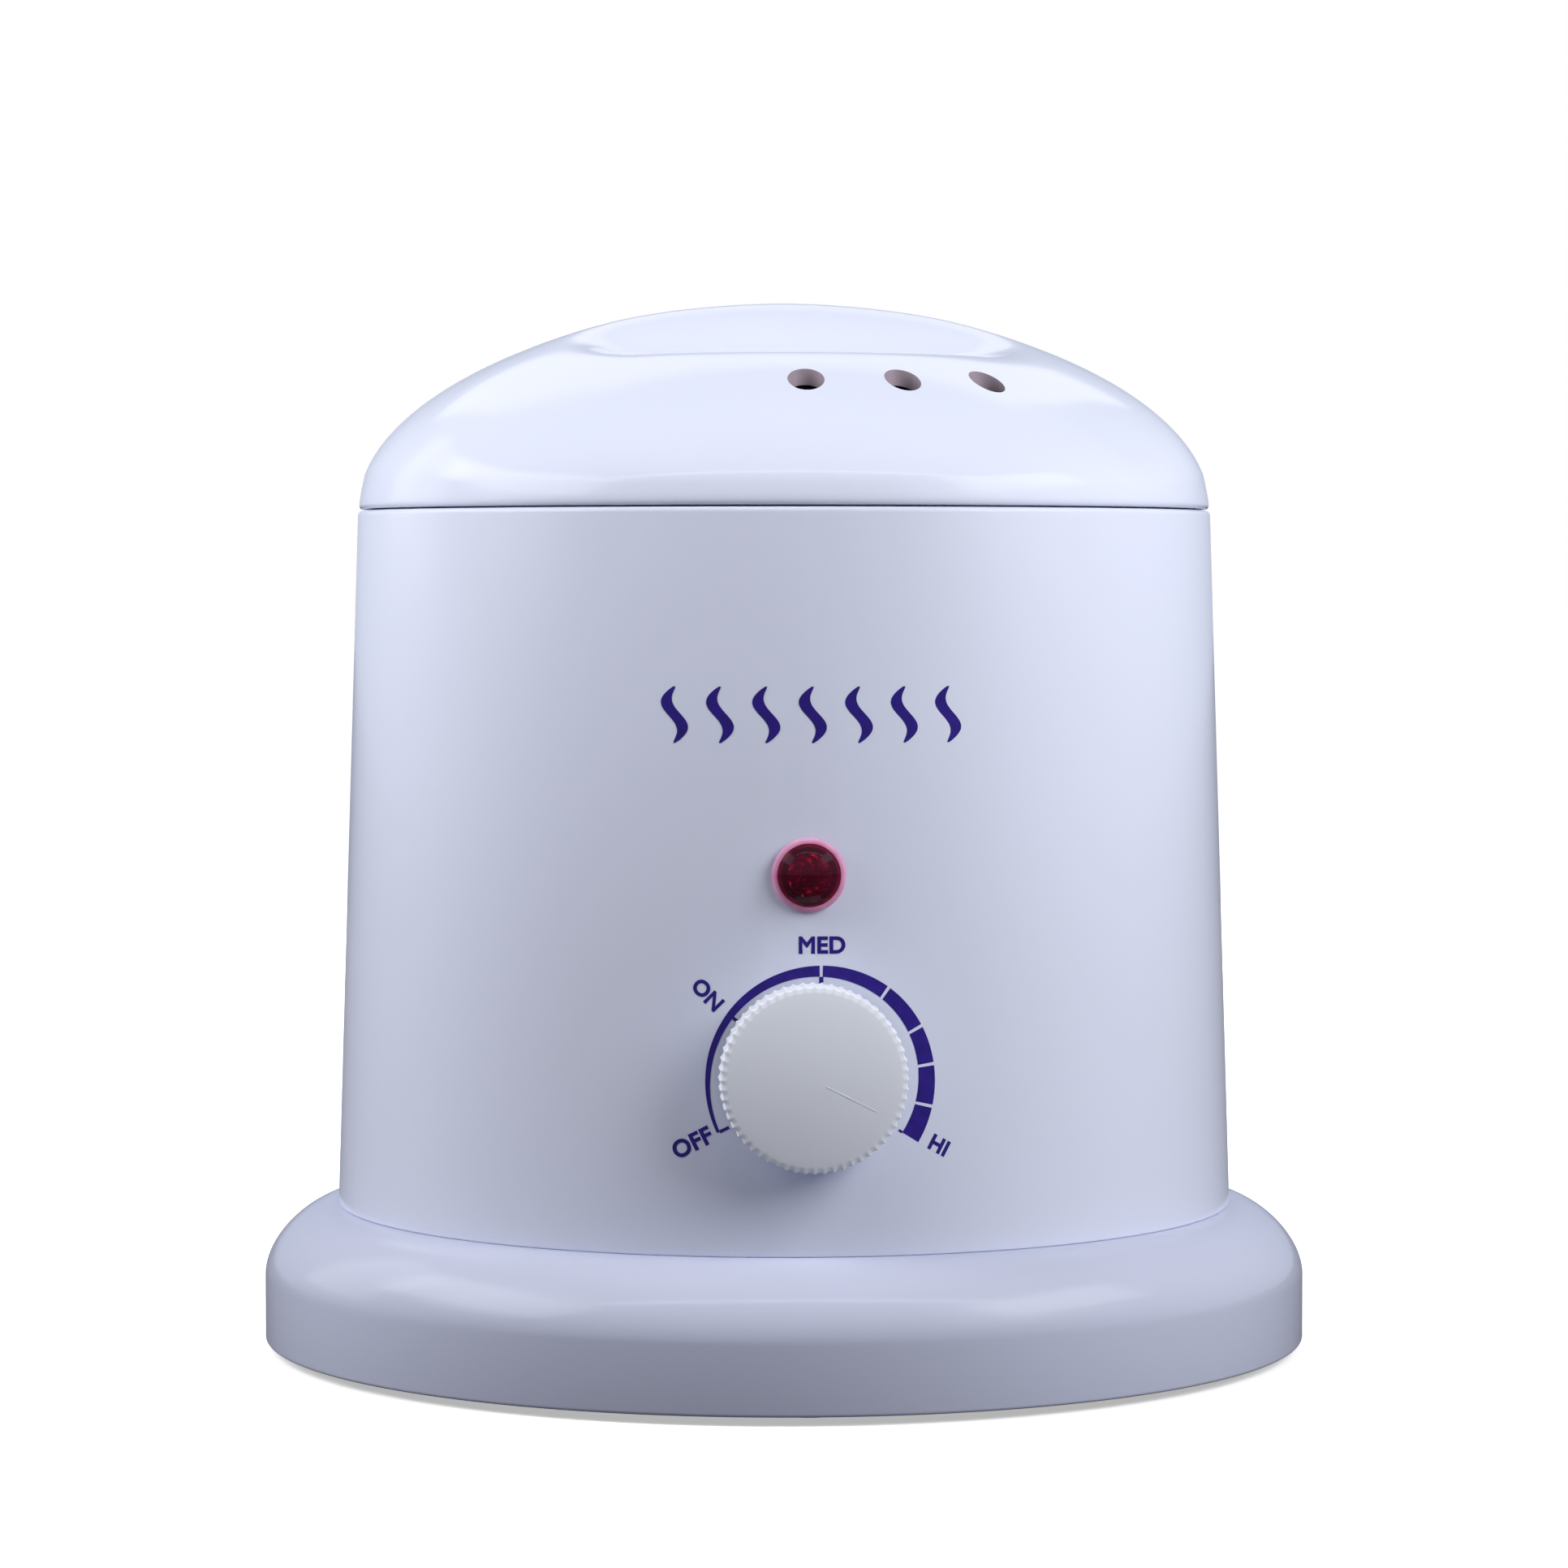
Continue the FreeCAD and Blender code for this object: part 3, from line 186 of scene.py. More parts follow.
def shade(mesh, sharp):
    mesh.shade_smooth()
    mesh.set_sharp_from_angle(angle=math.radians(sharp))


def bezier(poles, steps):
    """Points along a Bezier curve of any order, both ends included."""
    points = []
    for step in range(steps + 1):
        share = step / steps
        level = [Vector(pole) for pole in poles]
        while len(level) > 1:
            level = [a.lerp(b, share) for a, b in zip(level, level[1:])]
        points.append(tuple(level[0]))
    return points


def corner(before, point, after, radius, steps=4):
    """Rounds an outline's corner with a short curve."""
    centre = Vector(point)
    first = centre + (Vector(before) - centre).normalized() * radius
    last = centre + (Vector(after) - centre).normalized() * radius
    return bezier([first, centre, last], steps)


def rounded(outline, radii, steps=4):
    """Outline with each corner rounded by its own radius; 0 keeps it."""
    points = []
    count = len(outline)
    for index, (point, radius) in enumerate(zip(outline, radii)):
        if radius == 0:
            points.append(tuple(point))
            continue
        before = outline[index - 1]
        after = outline[(index + 1) % count]
        points += corner(before, point, after, radius, steps)
    return points


def lathe_mesh(outline, segments=256, closed=True):
    """Points and faces of an outline of (radius, z) points turned round Z."""
    points = []
    rings = []
    for radius, z in outline:
        if radius < 1e-6:
            rings.append([len(points)])
            points.append((0.0, 0.0, z))
            continue
        ring = []
        for step in range(segments):
            angle = 2 * math.pi * step / segments
            ring.append(len(points))
            points.append((radius * math.cos(angle), radius * math.sin(angle), z))
        rings.append(ring)
    faces = []
    pairs = list(zip(rings, rings[1:]))
    if closed:
        pairs.append((rings[-1], rings[0]))
    for low, high in pairs:
        faces += bridge(low, high)
    return points, faces


def bridge(low, high):
    """Faces between two rings of the same length, or a ring and a single point."""
    if len(low) == 1 and len(high) == 1:
        return []
    if len(low) == 1 or len(high) == 1:
        tip, ring = (low[0], high) if len(low) == 1 else (high[0], low)
        return [(tip, ring[i], ring[(i + 1) % len(ring)]) for i in range(len(ring))]
    count = len(low)
    return [(low[i], low[(i + 1) % count], high[(i + 1) % count], high[i]) for i in range(count)]


def lathe(name, outline, segments=256, closed=True, sharp=35):
    points, faces = lathe_mesh(outline, segments, closed)
    return make_piece(name, points, faces, sharp)


def to_y_axis(points, x, z):
    """Turns a form made round Z so that it lies along Y; its +Z end becomes the -Y end."""
    return [(x + px, -depth, z + py) for px, py, depth in points]


def carve(piece, cutters, sharp=35):
    """Cuts the cutters out of a piece and drops them."""
    for cutter in cutters:
        cut = piece.modifiers.new("cut", "BOOLEAN")
        cut.operation = "DIFFERENCE"
        cut.solver = "EXACT"
        cut.object = cutter
    graph = bpy.context.evaluated_depsgraph_get()
    mesh = bpy.data.meshes.new_from_object(piece.evaluated_get(graph))
    piece.modifiers.clear()
    piece.data = mesh
    shade(mesh, sharp)
    for cutter in cutters:
        bpy.data.objects.remove(cutter)
    return piece


def rod(radius, start, end, sides=64):
    """Throwaway cylinder between two points, for cutting."""
    start, end = Vector(start), Vector(end)
    spin = (end - start).to_track_quat("Z", "Y").to_matrix()
    points = []
    for centre in (start, end):
        for step in range(sides):
            angle = 2 * math.pi * step / sides
            offset = Vector((radius * math.cos(angle), radius * math.sin(angle), 0))
            points.append(tuple(centre + spin @ offset))
    faces = [tuple(range(sides)), tuple(range(sides, 2 * sides))]
    faces += bridge(list(range(sides)), list(range(sides, 2 * sides)))
    return make_piece("cutter", points, faces)


def shell_radius(z):
    return SHELL_FOOT_RADIUS - (z - SEAM_Z) * math.tan(SHELL_DRAFT)


def on_shell(across, z, lift):
    """Point on the shell's front, a distance round from the middle."""
    radius = shell_radius(z) + lift
    angle = across / shell_radius(z)
    return (radius * math.sin(angle), -radius * math.cos(angle), z)


def printed(name, flat_points, flat_faces):
    """Thin closed layer of ink on the shell from a flat drawing of (across, z) points."""
    count = len(flat_points)
    points = [on_shell(u, v, PRINT_LIFT) for u, v in flat_points]
    points += [on_shell(u, v, PRINT_SINK) for u, v in flat_points]
    faces = [tuple(face) for face in flat_faces]
    faces += [tuple(i + count for i in reversed(face)) for face in flat_faces]
    uses = {}
    for face in flat_faces:
        for a, b in zip(face, face[1:] + face[:1]):
            uses[(a, b)] = uses.get((a, b), 0) + 1
    for a, b in uses:
        if (b, a) not in uses:
            faces.append((b, a, a + count, b + count))
    return make_piece(name, points, faces, 30)


# ---------------------------------------------------------------- material helpers
class Nodes:
    """Small helper that adds and wires shader nodes."""

    def __init__(self, name):
        self.material = bpy.data.materials.new(name)
        self.material.use_nodes = True
        self.tree = self.material.node_tree
        self.tree.nodes.clear()
        self.output = self.tree.nodes.new("ShaderNodeOutputMaterial")
        self.surface = self.tree.nodes.new("ShaderNodeBsdfPrincipled")
        self.wire(self.surface.outputs[0], self.output.inputs["Surface"])
        self.place = self.tree.nodes.new("ShaderNodeTexCoord").outputs["Object"]

    def wire(self, source, target):
        self.tree.links.new(source, target)

    def noise(self, scale, detail=3.0, rough=0.5, stretch=None):
        node = self.tree.nodes.new("ShaderNodeTexNoise")
        node.inputs["Scale"].default_value = scale
        node.inputs["Detail"].default_value = detail
        node.inputs["Roughness"].default_value = rough
        source = self.place
        if stretch:
            mapping = self.tree.nodes.new("ShaderNodeMapping")
            mapping.inputs["Scale"].default_value = stretch
            self.wire(self.place, mapping.inputs["Vector"])
            source = mapping.outputs[0]
        self.wire(source, node.inputs["Vector"])
        return node.outputs["Fac"]

    def ramp(self, source, low, high, start=0.3, end=0.7):
        """Maps a 0 to 1 source onto a range of values."""
        node = self.tree.nodes.new("ShaderNodeMapRange")
        node.inputs["From Min"].default_value = start
        node.inputs["From Max"].default_value = end
        node.inputs["To Min"].default_value = low
        node.inputs["To Max"].default_value = high
        self.wire(source, node.inputs["Value"])
        return node.outputs[0]

    def blend(self, share, first, second):
        """Mixes two colours by a share, a socket or a number."""
        node = self.tree.nodes.new("ShaderNodeMix")
        node.data_type = "RGBA"
        factor, a, b = node.inputs["Factor"], node.inputs[6], node.inputs[7]
        if isinstance(share, float):
            factor.default_value = share
        else:
            self.wire(share, factor)
        for socket, value in ((a, first), (b, second)):
            if isinstance(value, tuple):
                socket.default_value = (*value, 1.0)
            else:
                self.wire(value, socket)
        return node.outputs[2]

    def bumps(self, *layers):
        """Stacks bump layers of (height source, strength, distance in mm)."""
        normal = None
        for source, strength, distance in layers:
            node = self.tree.nodes.new("ShaderNodeBump")
            node.inputs["Strength"].default_value = strength
            node.inputs["Distance"].default_value = distance * MM
            self.wire(source, node.inputs["Height"])
            if normal:
                self.wire(normal, node.inputs["Normal"])
            normal = node.outputs[0]
        self.wire(normal, self.surface.inputs["Normal"])

    def edges(self):
        """High on sharp outer edges."""
        geometry = self.tree.nodes.new("ShaderNodeNewGeometry")
        return self.ramp(geometry.outputs["Pointiness"], 0.0, 1.0, 0.53, 0.66)

    def rings(self, scale, distortion=0.6):
        """Fine turning rings round the Z axis."""
        wave = self.tree.nodes.new("ShaderNodeTexWave")
        wave.wave_type = "RINGS"
        wave.rings_direction = "Z"
        wave.inputs["Scale"].default_value = scale
        wave.inputs["Distortion"].default_value = distortion
        wave.inputs["Detail"].default_value = 2.0
        self.wire(self.place, wave.inputs["Vector"])
        return wave.outputs["Fac"]

    def set(self, **values):
        for label, value in values.items():
            socket = self.surface.inputs[label.replace("_", " ")]
            if isinstance(value, bpy.types.NodeSocket):
                self.wire(value, socket)
            elif isinstance(value, tuple) and len(value) == 3 and socket.type == "RGBA":
                socket.default_value = (*value, 1.0)
            else:
                socket.default_value = value
        return self.material


def tint(colour, factor):
    return tuple(min(1.0, channel * factor) for channel in colour)


def moulded_plastic(name, colour, gloss, grain=0.03):
    """Injection-moulded plastic: faint flow marks, fine orange peel, edges polished by handling."""
    nodes = Nodes(name)
    flow = nodes.ramp(nodes.noise(14, 0), 0.0, 1.0, 0.0, 1.0)
    speck = nodes.ramp(nodes.noise(900, 2), 0.0, 0.02, 0.40, 0.80)
    body = nodes.blend(flow, tint(colour, 0.992), tint(colour, 1.008))
    body = nodes.blend(speck, body, tint(colour, 0.86))
    body = nodes.blend(nodes.ramp(nodes.edges(), 0.0, 0.15, 0.0, 1.0), body, tint(colour, 1.05))
    haze = nodes.ramp(nodes.noise(22, 0), gloss[0], gloss[1], 0.0, 1.0)
    nodes.bumps((nodes.noise(1400, 2), grain, 0.05), (nodes.noise(90, 0), 0.02, 0.10))
    return nodes.set(Base_Color=body, Roughness=haze, IOR=1.50)


def spun_metal(name, colour, rough=(0.22, 0.36), rings=420.0):
    """Turned aluminium: concentric tool rings and smears."""
    nodes = Nodes(name)
    turning = nodes.rings(rings)
    smear = nodes.ramp(nodes.noise(55, 5, 0.65), 0.0, 1.0)
    body = nodes.blend(smear, tint(colour, 0.88), tint(colour, 1.05))
    body = nodes.blend(nodes.ramp(turning, 0.0, 0.18, 0.0, 1.0), body, tint(colour, 0.7))
    haze = nodes.ramp(nodes.noise(160, 4, 0.7), rough[0], rough[1])
    nodes.bumps((turning, 0.18, 0.03), (nodes.noise(2200, 2), 0.05, 0.03))
    return nodes.set(Base_Color=body, Metallic=0.62, Roughness=haze)


def plated_metal(name, colour, rough=(0.16, 0.30)):
    """Nickel or zinc plate with fine draw lines and dull patches."""
    nodes = Nodes(name)
    lines = nodes.noise(260, 4, 0.7, stretch=(1.0, 9.0, 9.0))
    patch = nodes.ramp(nodes.noise(90, 4), 0.0, 1.0)
    body = nodes.blend(patch, tint(colour, 0.86), tint(colour, 1.04))
    haze = nodes.ramp(lines, rough[0], rough[1])
    nodes.bumps((lines, 0.08, 0.04), (nodes.noise(3000, 2), 0.04, 0.02))
    return nodes.set(Base_Color=body, Metallic=1.0, Roughness=haze)


def dull_solid(name, colour, rough=(0.55, 0.75), grain=0.25, scale=1500.0):
    """Rubber, phenolic or wire insulation: matte with a fine grain and dusty patches."""
    nodes = Nodes(name)
    dust = nodes.ramp(nodes.noise(140, 5, 0.65), 0.0, 0.35)
    grains = nodes.noise(scale, 3)
    body = nodes.blend(dust, colour, tint(colour, 1.5))
    haze = nodes.ramp(nodes.noise(220, 3), rough[0], rough[1])
    nodes.bumps((grains, grain, 0.06), (nodes.noise(260, 2), 0.10, 0.10))
    return nodes.set(Base_Color=body, Roughness=haze)


def layered_mica(name, colour):
    """Mica and glass tape: flaky sheen in streaks round the band."""
    nodes = Nodes(name)
    flakes = nodes.noise(420, 5, 0.7, stretch=(1.0, 1.0, 4.0))
    body = nodes.blend(nodes.ramp(flakes, 0.0, 1.0), tint(colour, 0.65), tint(colour, 1.25))
    nodes.bumps((flakes, 0.3, 0.15))
    return nodes.set(Base_Color=body, Roughness=nodes.ramp(flakes, 0.35, 0.7), Metallic=0.15)


def woven_fibre(name, colour):
    """Felted glass fibre sleeve."""
    nodes = Nodes(name)
    strands = nodes.noise(700, 6, 0.75, stretch=(1.0, 1.0, 3.0))
    tufts = nodes.noise(180, 5, 0.6)
    body = nodes.blend(nodes.ramp(strands, 0.0, 1.0), tint(colour, 0.75), tint(colour, 1.1))
    nodes.bumps((tufts, 0.6, 0.6), (strands, 0.8, 0.3))
    return nodes.set(Base_Color=body, Roughness=0.9, Sheen_Weight=0.3)


def clear_glass(name, colour):
    nodes = Nodes(name)
    smear = nodes.noise(300, 3)
    nodes.bumps((smear, 0.03, 0.05))
    return nodes.set(Base_Color=colour, Roughness=nodes.ramp(smear, 0.02, 0.10), IOR=1.5,
                     Transmission_Weight=0.9)


def screen_ink(name, colour):
    """Pad-printed ink: slightly uneven cover and pinholes."""
    nodes = Nodes(name)
    cover = nodes.ramp(nodes.noise(520, 4, 0.6), 0.0, 1.0)
    holes = nodes.ramp(nodes.noise(2600, 2), 0.0, 0.25, 0.62, 0.80)
    body = nodes.blend(cover, tint(colour, 0.85), tint(colour, 1.25))
    body = nodes.blend(holes, body, tint(colour, 3.0))
    nodes.bumps((nodes.noise(1800, 2), 0.06, 0.03))
    return nodes.set(Base_Color=body, Roughness=nodes.ramp(cover, 0.30, 0.45), IOR=1.45)


def tinted_lens(name, colour, deep, transmission):
    """Coloured clear plastic with streaks of denser colour."""
    nodes = Nodes(name)
    streak = nodes.ramp(nodes.noise(420, 4, 0.6), 0.0, 1.0)
    body = nodes.blend(streak, deep, colour)
    nodes.bumps((nodes.noise(1600, 2), 0.05, 0.04))
    return nodes.set(Base_Color=body, Roughness=nodes.ramp(streak, 0.02, 0.06), IOR=1.25,
                     Transmission_Weight=transmission)


# ---------------------------------------------------------------- colours
WHITE_ABS = (0.740, 0.778, 0.935)
# Base plastic: a little greyer than the shell, and darker still as painted shade for the base being lit
# less.
BASE_ABS_WITH_PAINTED_SHADE = (0.560, 0.590, 0.745)
KNOB_WHITE = (0.87, 0.905, 1.0)
# Steam-hole bores: painted shade, a dark mauve standing in for the shade inside the holes.
HOLE_PAINTED_SHADE = (0.34, 0.28, 0.33)
INK = (0.022, 0.008, 0.190)

MATERIALS = {
    "lid_plastic": moulded_plastic("lid_plastic", WHITE_ABS, (0.10, 0.16)),
    "shell_plastic": moulded_plastic("shell_plastic", WHITE_ABS, (0.14, 0.20)),
    # The base's colour carries painted shade as well as its slightly greyer tone.
    "base_plastic": moulded_plastic("base_plastic", BASE_ABS_WITH_PAINTED_SHADE, (0.12, 0.18)),
    "knob_plastic": moulded_plastic("knob_plastic", KNOB_WHITE, (0.30, 0.42), 0.06),
    "collar_plastic": moulded_plastic("collar_plastic", (0.74, 0.75, 0.80), (0.40, 0.55), 0.10),
    "lens_plastic": tinted_lens("lens_plastic", (0.50, 0.03, 0.14), (0.34, 0.01, 0.07), 0.90),
    "foot_rubber": dull_solid("foot_rubber", (0.05, 0.05, 0.055)),
    "grommet_rubber": dull_solid("grommet_rubber", (0.52, 0.53, 0.58), (0.45, 0.6), 0.15),
    "cup_aluminium": spun_metal("cup_aluminium", (0.72, 0.72, 0.73), (0.30, 0.48)),
    "pot_aluminium": spun_metal("pot_aluminium", (0.82, 0.82, 0.83), (0.22, 0.31)),
    "plated_steel": plated_metal("plated_steel", (0.66, 0.67, 0.68)),
    "contact_brass": plated_metal("contact_brass", (0.72, 0.52, 0.20)),
    "phenolic": dull_solid("phenolic", (0.035, 0.020, 0.014), (0.35, 0.55)),
    "mica_band": layered_mica("mica_band", (0.42, 0.34, 0.20)),
    "glass_fibre": woven_fibre("glass_fibre", (0.75, 0.72, 0.63)),
    "lamp_glass": clear_glass("lamp_glass", (0.95, 0.85, 0.80)),
    "fuse_metal": plated_metal("fuse_metal", (0.60, 0.57, 0.50)),
    "block_nylon": dull_solid("block_nylon", (0.62, 0.60, 0.54), (0.40, 0.55), 0.12),
    "brown_insulation": dull_solid("brown_insulation", (0.11, 0.035, 0.012), (0.35, 0.5), 0.1),
    "blue_insulation": dull_solid("blue_insulation", (0.012, 0.06, 0.30), (0.35, 0.5), 0.1),
    "green_insulation": dull_solid("green_insulation", (0.10, 0.30, 0.03), (0.35, 0.5), 0.1),
    "white_insulation": dull_solid("white_insulation", (0.60, 0.58, 0.53), (0.35, 0.5), 0.1),
}
INK_MATERIAL = screen_ink("dial_ink", INK)
FLANGE_MATERIAL = tinted_lens("lens_flange", (1.0, 0.56, 0.80), (0.93, 0.40, 0.66), 0.40)
FACET_MATERIAL = plated_metal("lens_facets", (0.30, 0.07, 0.13), (0.20, 0.35))
# Material of the steam-hole bores, darkened as painted shade.
HOLE_PAINTED_SHADE_MATERIAL = moulded_plastic("vent_wall_painted_shade", HOLE_PAINTED_SHADE, (0.45, 0.55))
POINTER_MATERIAL = moulded_plastic("pointer_groove", tint(KNOB_WHITE, 0.94), (0.4, 0.5))


def finish_piece(piece, body, slot_name, material=None):
    """Gives a piece its material, picked by slot name unless one is given, and its body."""
    piece.data.materials.clear()
    piece.data.materials.append(material or MATERIALS[slot_name])
    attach(piece, body)
    return piece


def dress_cad_nodes():
    """Every CAD node that stays gets its slot's procedural material."""
    for part in frame["record"]["subparts"]:
        for holder in frame["nodes"][part["node"]].material_slots:
            holder.material = MATERIALS[part["material_slot"]]


# ---------------------------------------------------------------- lid
def smooth(share):
    share = max(0.0, min(1.0, share))
    return share * share * (3 - 2 * share)


def dome_z(radius):
    """Height of the full dome."""
    share = min(radius / LID_RADIUS, 1.0) ** (1 / DOME_POWER)
    return LID_SPRING_Z + (LID_TOP - LID_SPRING_Z) * max(0.0, 1 - share * share) ** (DOME_POWER / 2)


def skirt_table():
    """Heights of the skirt, rim to ring, as (radius, z) pairs."""
    poles = [(LID_RADIUS, LID_SPRING_Z), (LID_RADIUS, LID_SPRING_Z + SKIRT_RISE),
             (RING_RADIUS + SKIRT_RUN, RING_Z), (RING_RADIUS, RING_Z)]
    return sorted(bezier(poles, 400))


SKIRT = skirt_table()


def scoop_z(radius):
    """Height of the scooped front and back: a full skirt outside the ring, a shallow valley inside."""
    if radius < RING_RADIUS:
        return VALLEY_Z + (RING_Z - VALLEY_Z) * (1 - math.cos(math.pi * radius / RING_RADIUS)) / 2
    place = min(max(bisect.bisect(SKIRT, (radius, 0.0)), 1), len(SKIRT) - 1)
    (low_r, low_z), (high_r, high_z) = SKIRT[place - 1], SKIRT[place]
    share = (radius - low_r) / max(high_r - low_r, 1e-9)
    return low_z + (high_z - low_z) * min(max(share, 0.0), 1.0)


def crest_z(x, radius):
    """Height of the grip's crest: the dome with a slight swell either side of the middle."""
    swell = CREST_SWELL * math.exp(-((abs(x) - CREST_SWELL_AT) / CREST_SWELL_WIDTH) ** 2)
    return min(dome_z(radius) + swell, LID_TOP)


def lid_z(x, y):
    """Height of the lid's outer skin, the grip running along X."""
    radius = math.hypot(x, y)
    low = scoop_z(radius)
    gap = max(crest_z(x, radius) - low, 0.0)
    half = GRIP_HALF + GRIP_FLARE * (abs(x) / LID_RADIUS) ** GRIP_FLARE_POWER
    run = GRIP_LEAN * gap + GRIP_FOLD + GRIP_FADE * smooth((radius - GRIP_FADE_START) / GRIP_FADE_RUN)
    return low + gap * (1 - smooth((abs(y) - half) / run))


def lid_slope(x, y):
    step = 0.2
    across = (lid_z(x + step, y) - lid_z(x - step, y)) / (2 * step)
    along = (lid_z(x, y + step) - lid_z(x, y - step)) / (2 * step)
    return math.hypot(across, along)


def lid_section(angle):
    """Closed run of (radius, z) from the outer pole round the rim to the inner pole."""
    cos, sin = math.cos(angle), math.sin(angle)
    turn_in = LID_RADIUS - 1.0
    section = []
    steps = 92
    for step in range(1, steps + 1):
        radius = turn_in * step / steps
        section.append((radius, lid_z(radius * cos, radius * sin)))
    rim_start = section.pop()
    section += bezier([rim_start, (LID_RADIUS, LID_SPRING_Z + 0.3), (LID_RADIUS, LID_SPRING_Z - 0.5)], 6)
    section += bezier([(LID_RADIUS, LID_LAND_Z + 0.6), (LID_RADIUS, LID_LAND_Z),
                       (LID_RADIUS - 0.6, LID_LAND_Z)], 4)
    lip_z = COLLAR_HIGH.z
    section += [(LIP_OUTER + 0.3, LID_LAND_Z), (LIP_OUTER, LID_LAND_Z - 0.3), (LIP_OUTER, lip_z + 0.4),
                (LIP_OUTER - 0.4, lip_z), (LIP_INNER + 0.4, lip_z), (LIP_INNER, lip_z + 0.4)]
    inner_steps = 48
    for step in range(inner_steps, 0, -1):
        radius = LIP_INNER * step / inner_steps
        x, y = radius * cos, radius * sin
        drop = LID_WALL * math.sqrt(1 + min(lid_slope(x, y), STEEPEST) ** 2)
        section.append((radius, lid_z(x, y) - drop))
    return section


def build_lid():
    segments = 384
    points = [(0, 0, lid_z(0, 0))]
    rings = None
    for step in range(segments):
        angle = 2 * math.pi * step / segments
        section = lid_section(angle)
        if rings is None:
            rings = [[] for _ in section]
        for ring, (radius, z) in zip(rings, section):
            ring.append(len(points))
            points.append((radius * math.cos(angle), radius * math.sin(angle), z))
    inner_pole = len(points)
    points.append((0, 0, lid_z(0, 0) - LID_WALL))
    rings = [[0]] + rings + [[inner_pole]]
    faces = []
    for low, high in zip(rings, rings[1:]):
        faces += bridge(low, high)
    piece = make_piece("lid_skin", points, faces, 40)
    angles = [-math.pi / 2 + HOLE_TURN - GRIP_TURN + step * HOLE_SPACING for step in (-1, 0, 1)]
    spots = [(HOLE_CIRCLE * math.cos(angle), HOLE_CIRCLE * math.sin(angle)) for angle in angles]
    cutters = [rod(HOLE_RADIUS, (x, y, 155), (x, y, 190)) for x, y in spots]
    carve(piece, cutters, 40)
    finish_piece(piece, "cover", "lid_plastic")
    # The faces of the steam-hole bores take the darker painted-shade material.
    piece.data.materials.append(HOLE_PAINTED_SHADE_MATERIAL)
    for face in piece.data.polygons:
        centre = face.center / MM
        for x, y in spots:
            if math.hypot(centre.x - x, centre.y - y) < HOLE_RADIUS + 0.02:
                face.material_index = 1
    piece.data.transform(Matrix.Rotation(GRIP_TURN, 4, "Z"))
    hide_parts("lid")
    return piece


# ---------------------------------------------------------------- shell and base
def build_shell():
    foot = SHELL_FOOT_RADIUS
    top = shell_radius(SHELL_TOP)
    ledge_z = COLLAR_LOW.z
    ledge = COLLAR_HIGH.x - LEDGE_INSET
    brace_z = ledge_z - LEDGE_BRACE
    outline = [(foot, SEAM_Z), (top, SHELL_TOP), (top - WALL, SHELL_TOP),
               (shell_radius(ledge_z) - WALL, ledge_z), (ledge, ledge_z), (ledge, ledge_z - LEDGE_THICK),
               (shell_radius(brace_z) - WALL, brace_z), (foot - WALL, SEAM_Z)]
    outline = rounded(outline, [0.35, 1.0, 0.5, 0, 0.3, 0.3, 0, 0.3], 5)
    piece = lathe("shell_body", outline, 288, sharp=38)
    cutters = [rod(KNOB_SEAT_RADIUS, (KNOB_X, CUT_FRONT, KNOB_CENTRE), (KNOB_X, KNOB_SEAT_Y, KNOB_CENTRE)),
               rod(BUSHING_HOLE_RADIUS, (KNOB_X, KNOB_SEAT_Y - 1, KNOB_CENTRE),
                   (KNOB_X, CUT_BACK, KNOB_CENTRE)),
               rod(LAMP_HOLE_RADIUS, (0, CUT_FRONT, LENS_CENTRE), (0, CUT_BACK, LENS_CENTRE))]
    carve(piece, cutters, 38)
    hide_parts("outer_shell")
    return finish_piece(piece, "housing", "shell_plastic")


def build_base():
    radius = BASE_HIGH.x
    low = BASE_LOW.z
    wall_top = BASE_WALL_TOP
    fullness = SHOULDER_FULLNESS
    spigot_z = SEAM_Z + SPIGOT_RISE
    ring_outer = shell_radius(spigot_z) - WALL - 0.1
    ring_inner = ring_outer - SPIGOT_THICK
    shoulder = SHELL_FOOT_RADIUS
    inner = radius - WALL
    inner_start = shoulder - 1.0
    under = SEAM_Z - WALL
    outline = [(inner, low), *corner((inner, low), (radius, low), (radius, wall_top), 0.6)]
    outline += bezier([(radius, wall_top), (radius, wall_top + (SEAM_Z - wall_top) * fullness),
                       (shoulder + (radius - shoulder) * fullness, SEAM_Z), (shoulder, SEAM_Z)], 28)
    outline += [(ring_outer, SEAM_Z), (ring_outer, spigot_z - 0.3), (ring_outer - 0.3, spigot_z),
                (ring_inner + 0.3, spigot_z), (ring_inner, spigot_z - 0.3), (ring_inner, SEAM_Z),
                (BASE_OPENING_RADIUS, SEAM_Z), (BASE_OPENING_RADIUS, under), (inner_start, under)]
    outline += bezier([(inner_start, under), (inner_start + (inner - inner_start) * fullness, under),
                       (inner, wall_top + (under - wall_top) * fullness), (inner, wall_top)], 14)[1:]
    piece = lathe("base_body", outline, 320, sharp=38)
    cutters = [rod(GROMMET_NECK_RADIUS, (0, 80, GROMMET_CENTRE), (0, 96, GROMMET_CENTRE)),
               rod(GROMMET_SEAT_RADIUS, (0, 91, GROMMET_CENTRE), (0, 96, GROMMET_CENTRE))]
    carve(piece, cutters, 38)
    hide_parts("base_flange")
    return finish_piece(piece, "housing", "base_plastic")


# ---------------------------------------------------------------- knob
KNOB_TEETH = 60
KNOB_FLUTE = 0.35
KNOB_EDGE = 0.45
KNOB_DOME = 1.3
KNOB_WALL = 1.5
KNOB_FACE = 1.8
HUB_RADIUS = 5.5
HUB_BORE = 3.05
HUB_BACK = 81.1
POINTER_ANGLE = math.radians(117.0)


def knob_face(radius):
    """How far forward the slightly domed face reaches."""
    return -KNOB_LOW.y - KNOB_DOME * (radius / KNOB_RADIUS) ** 2


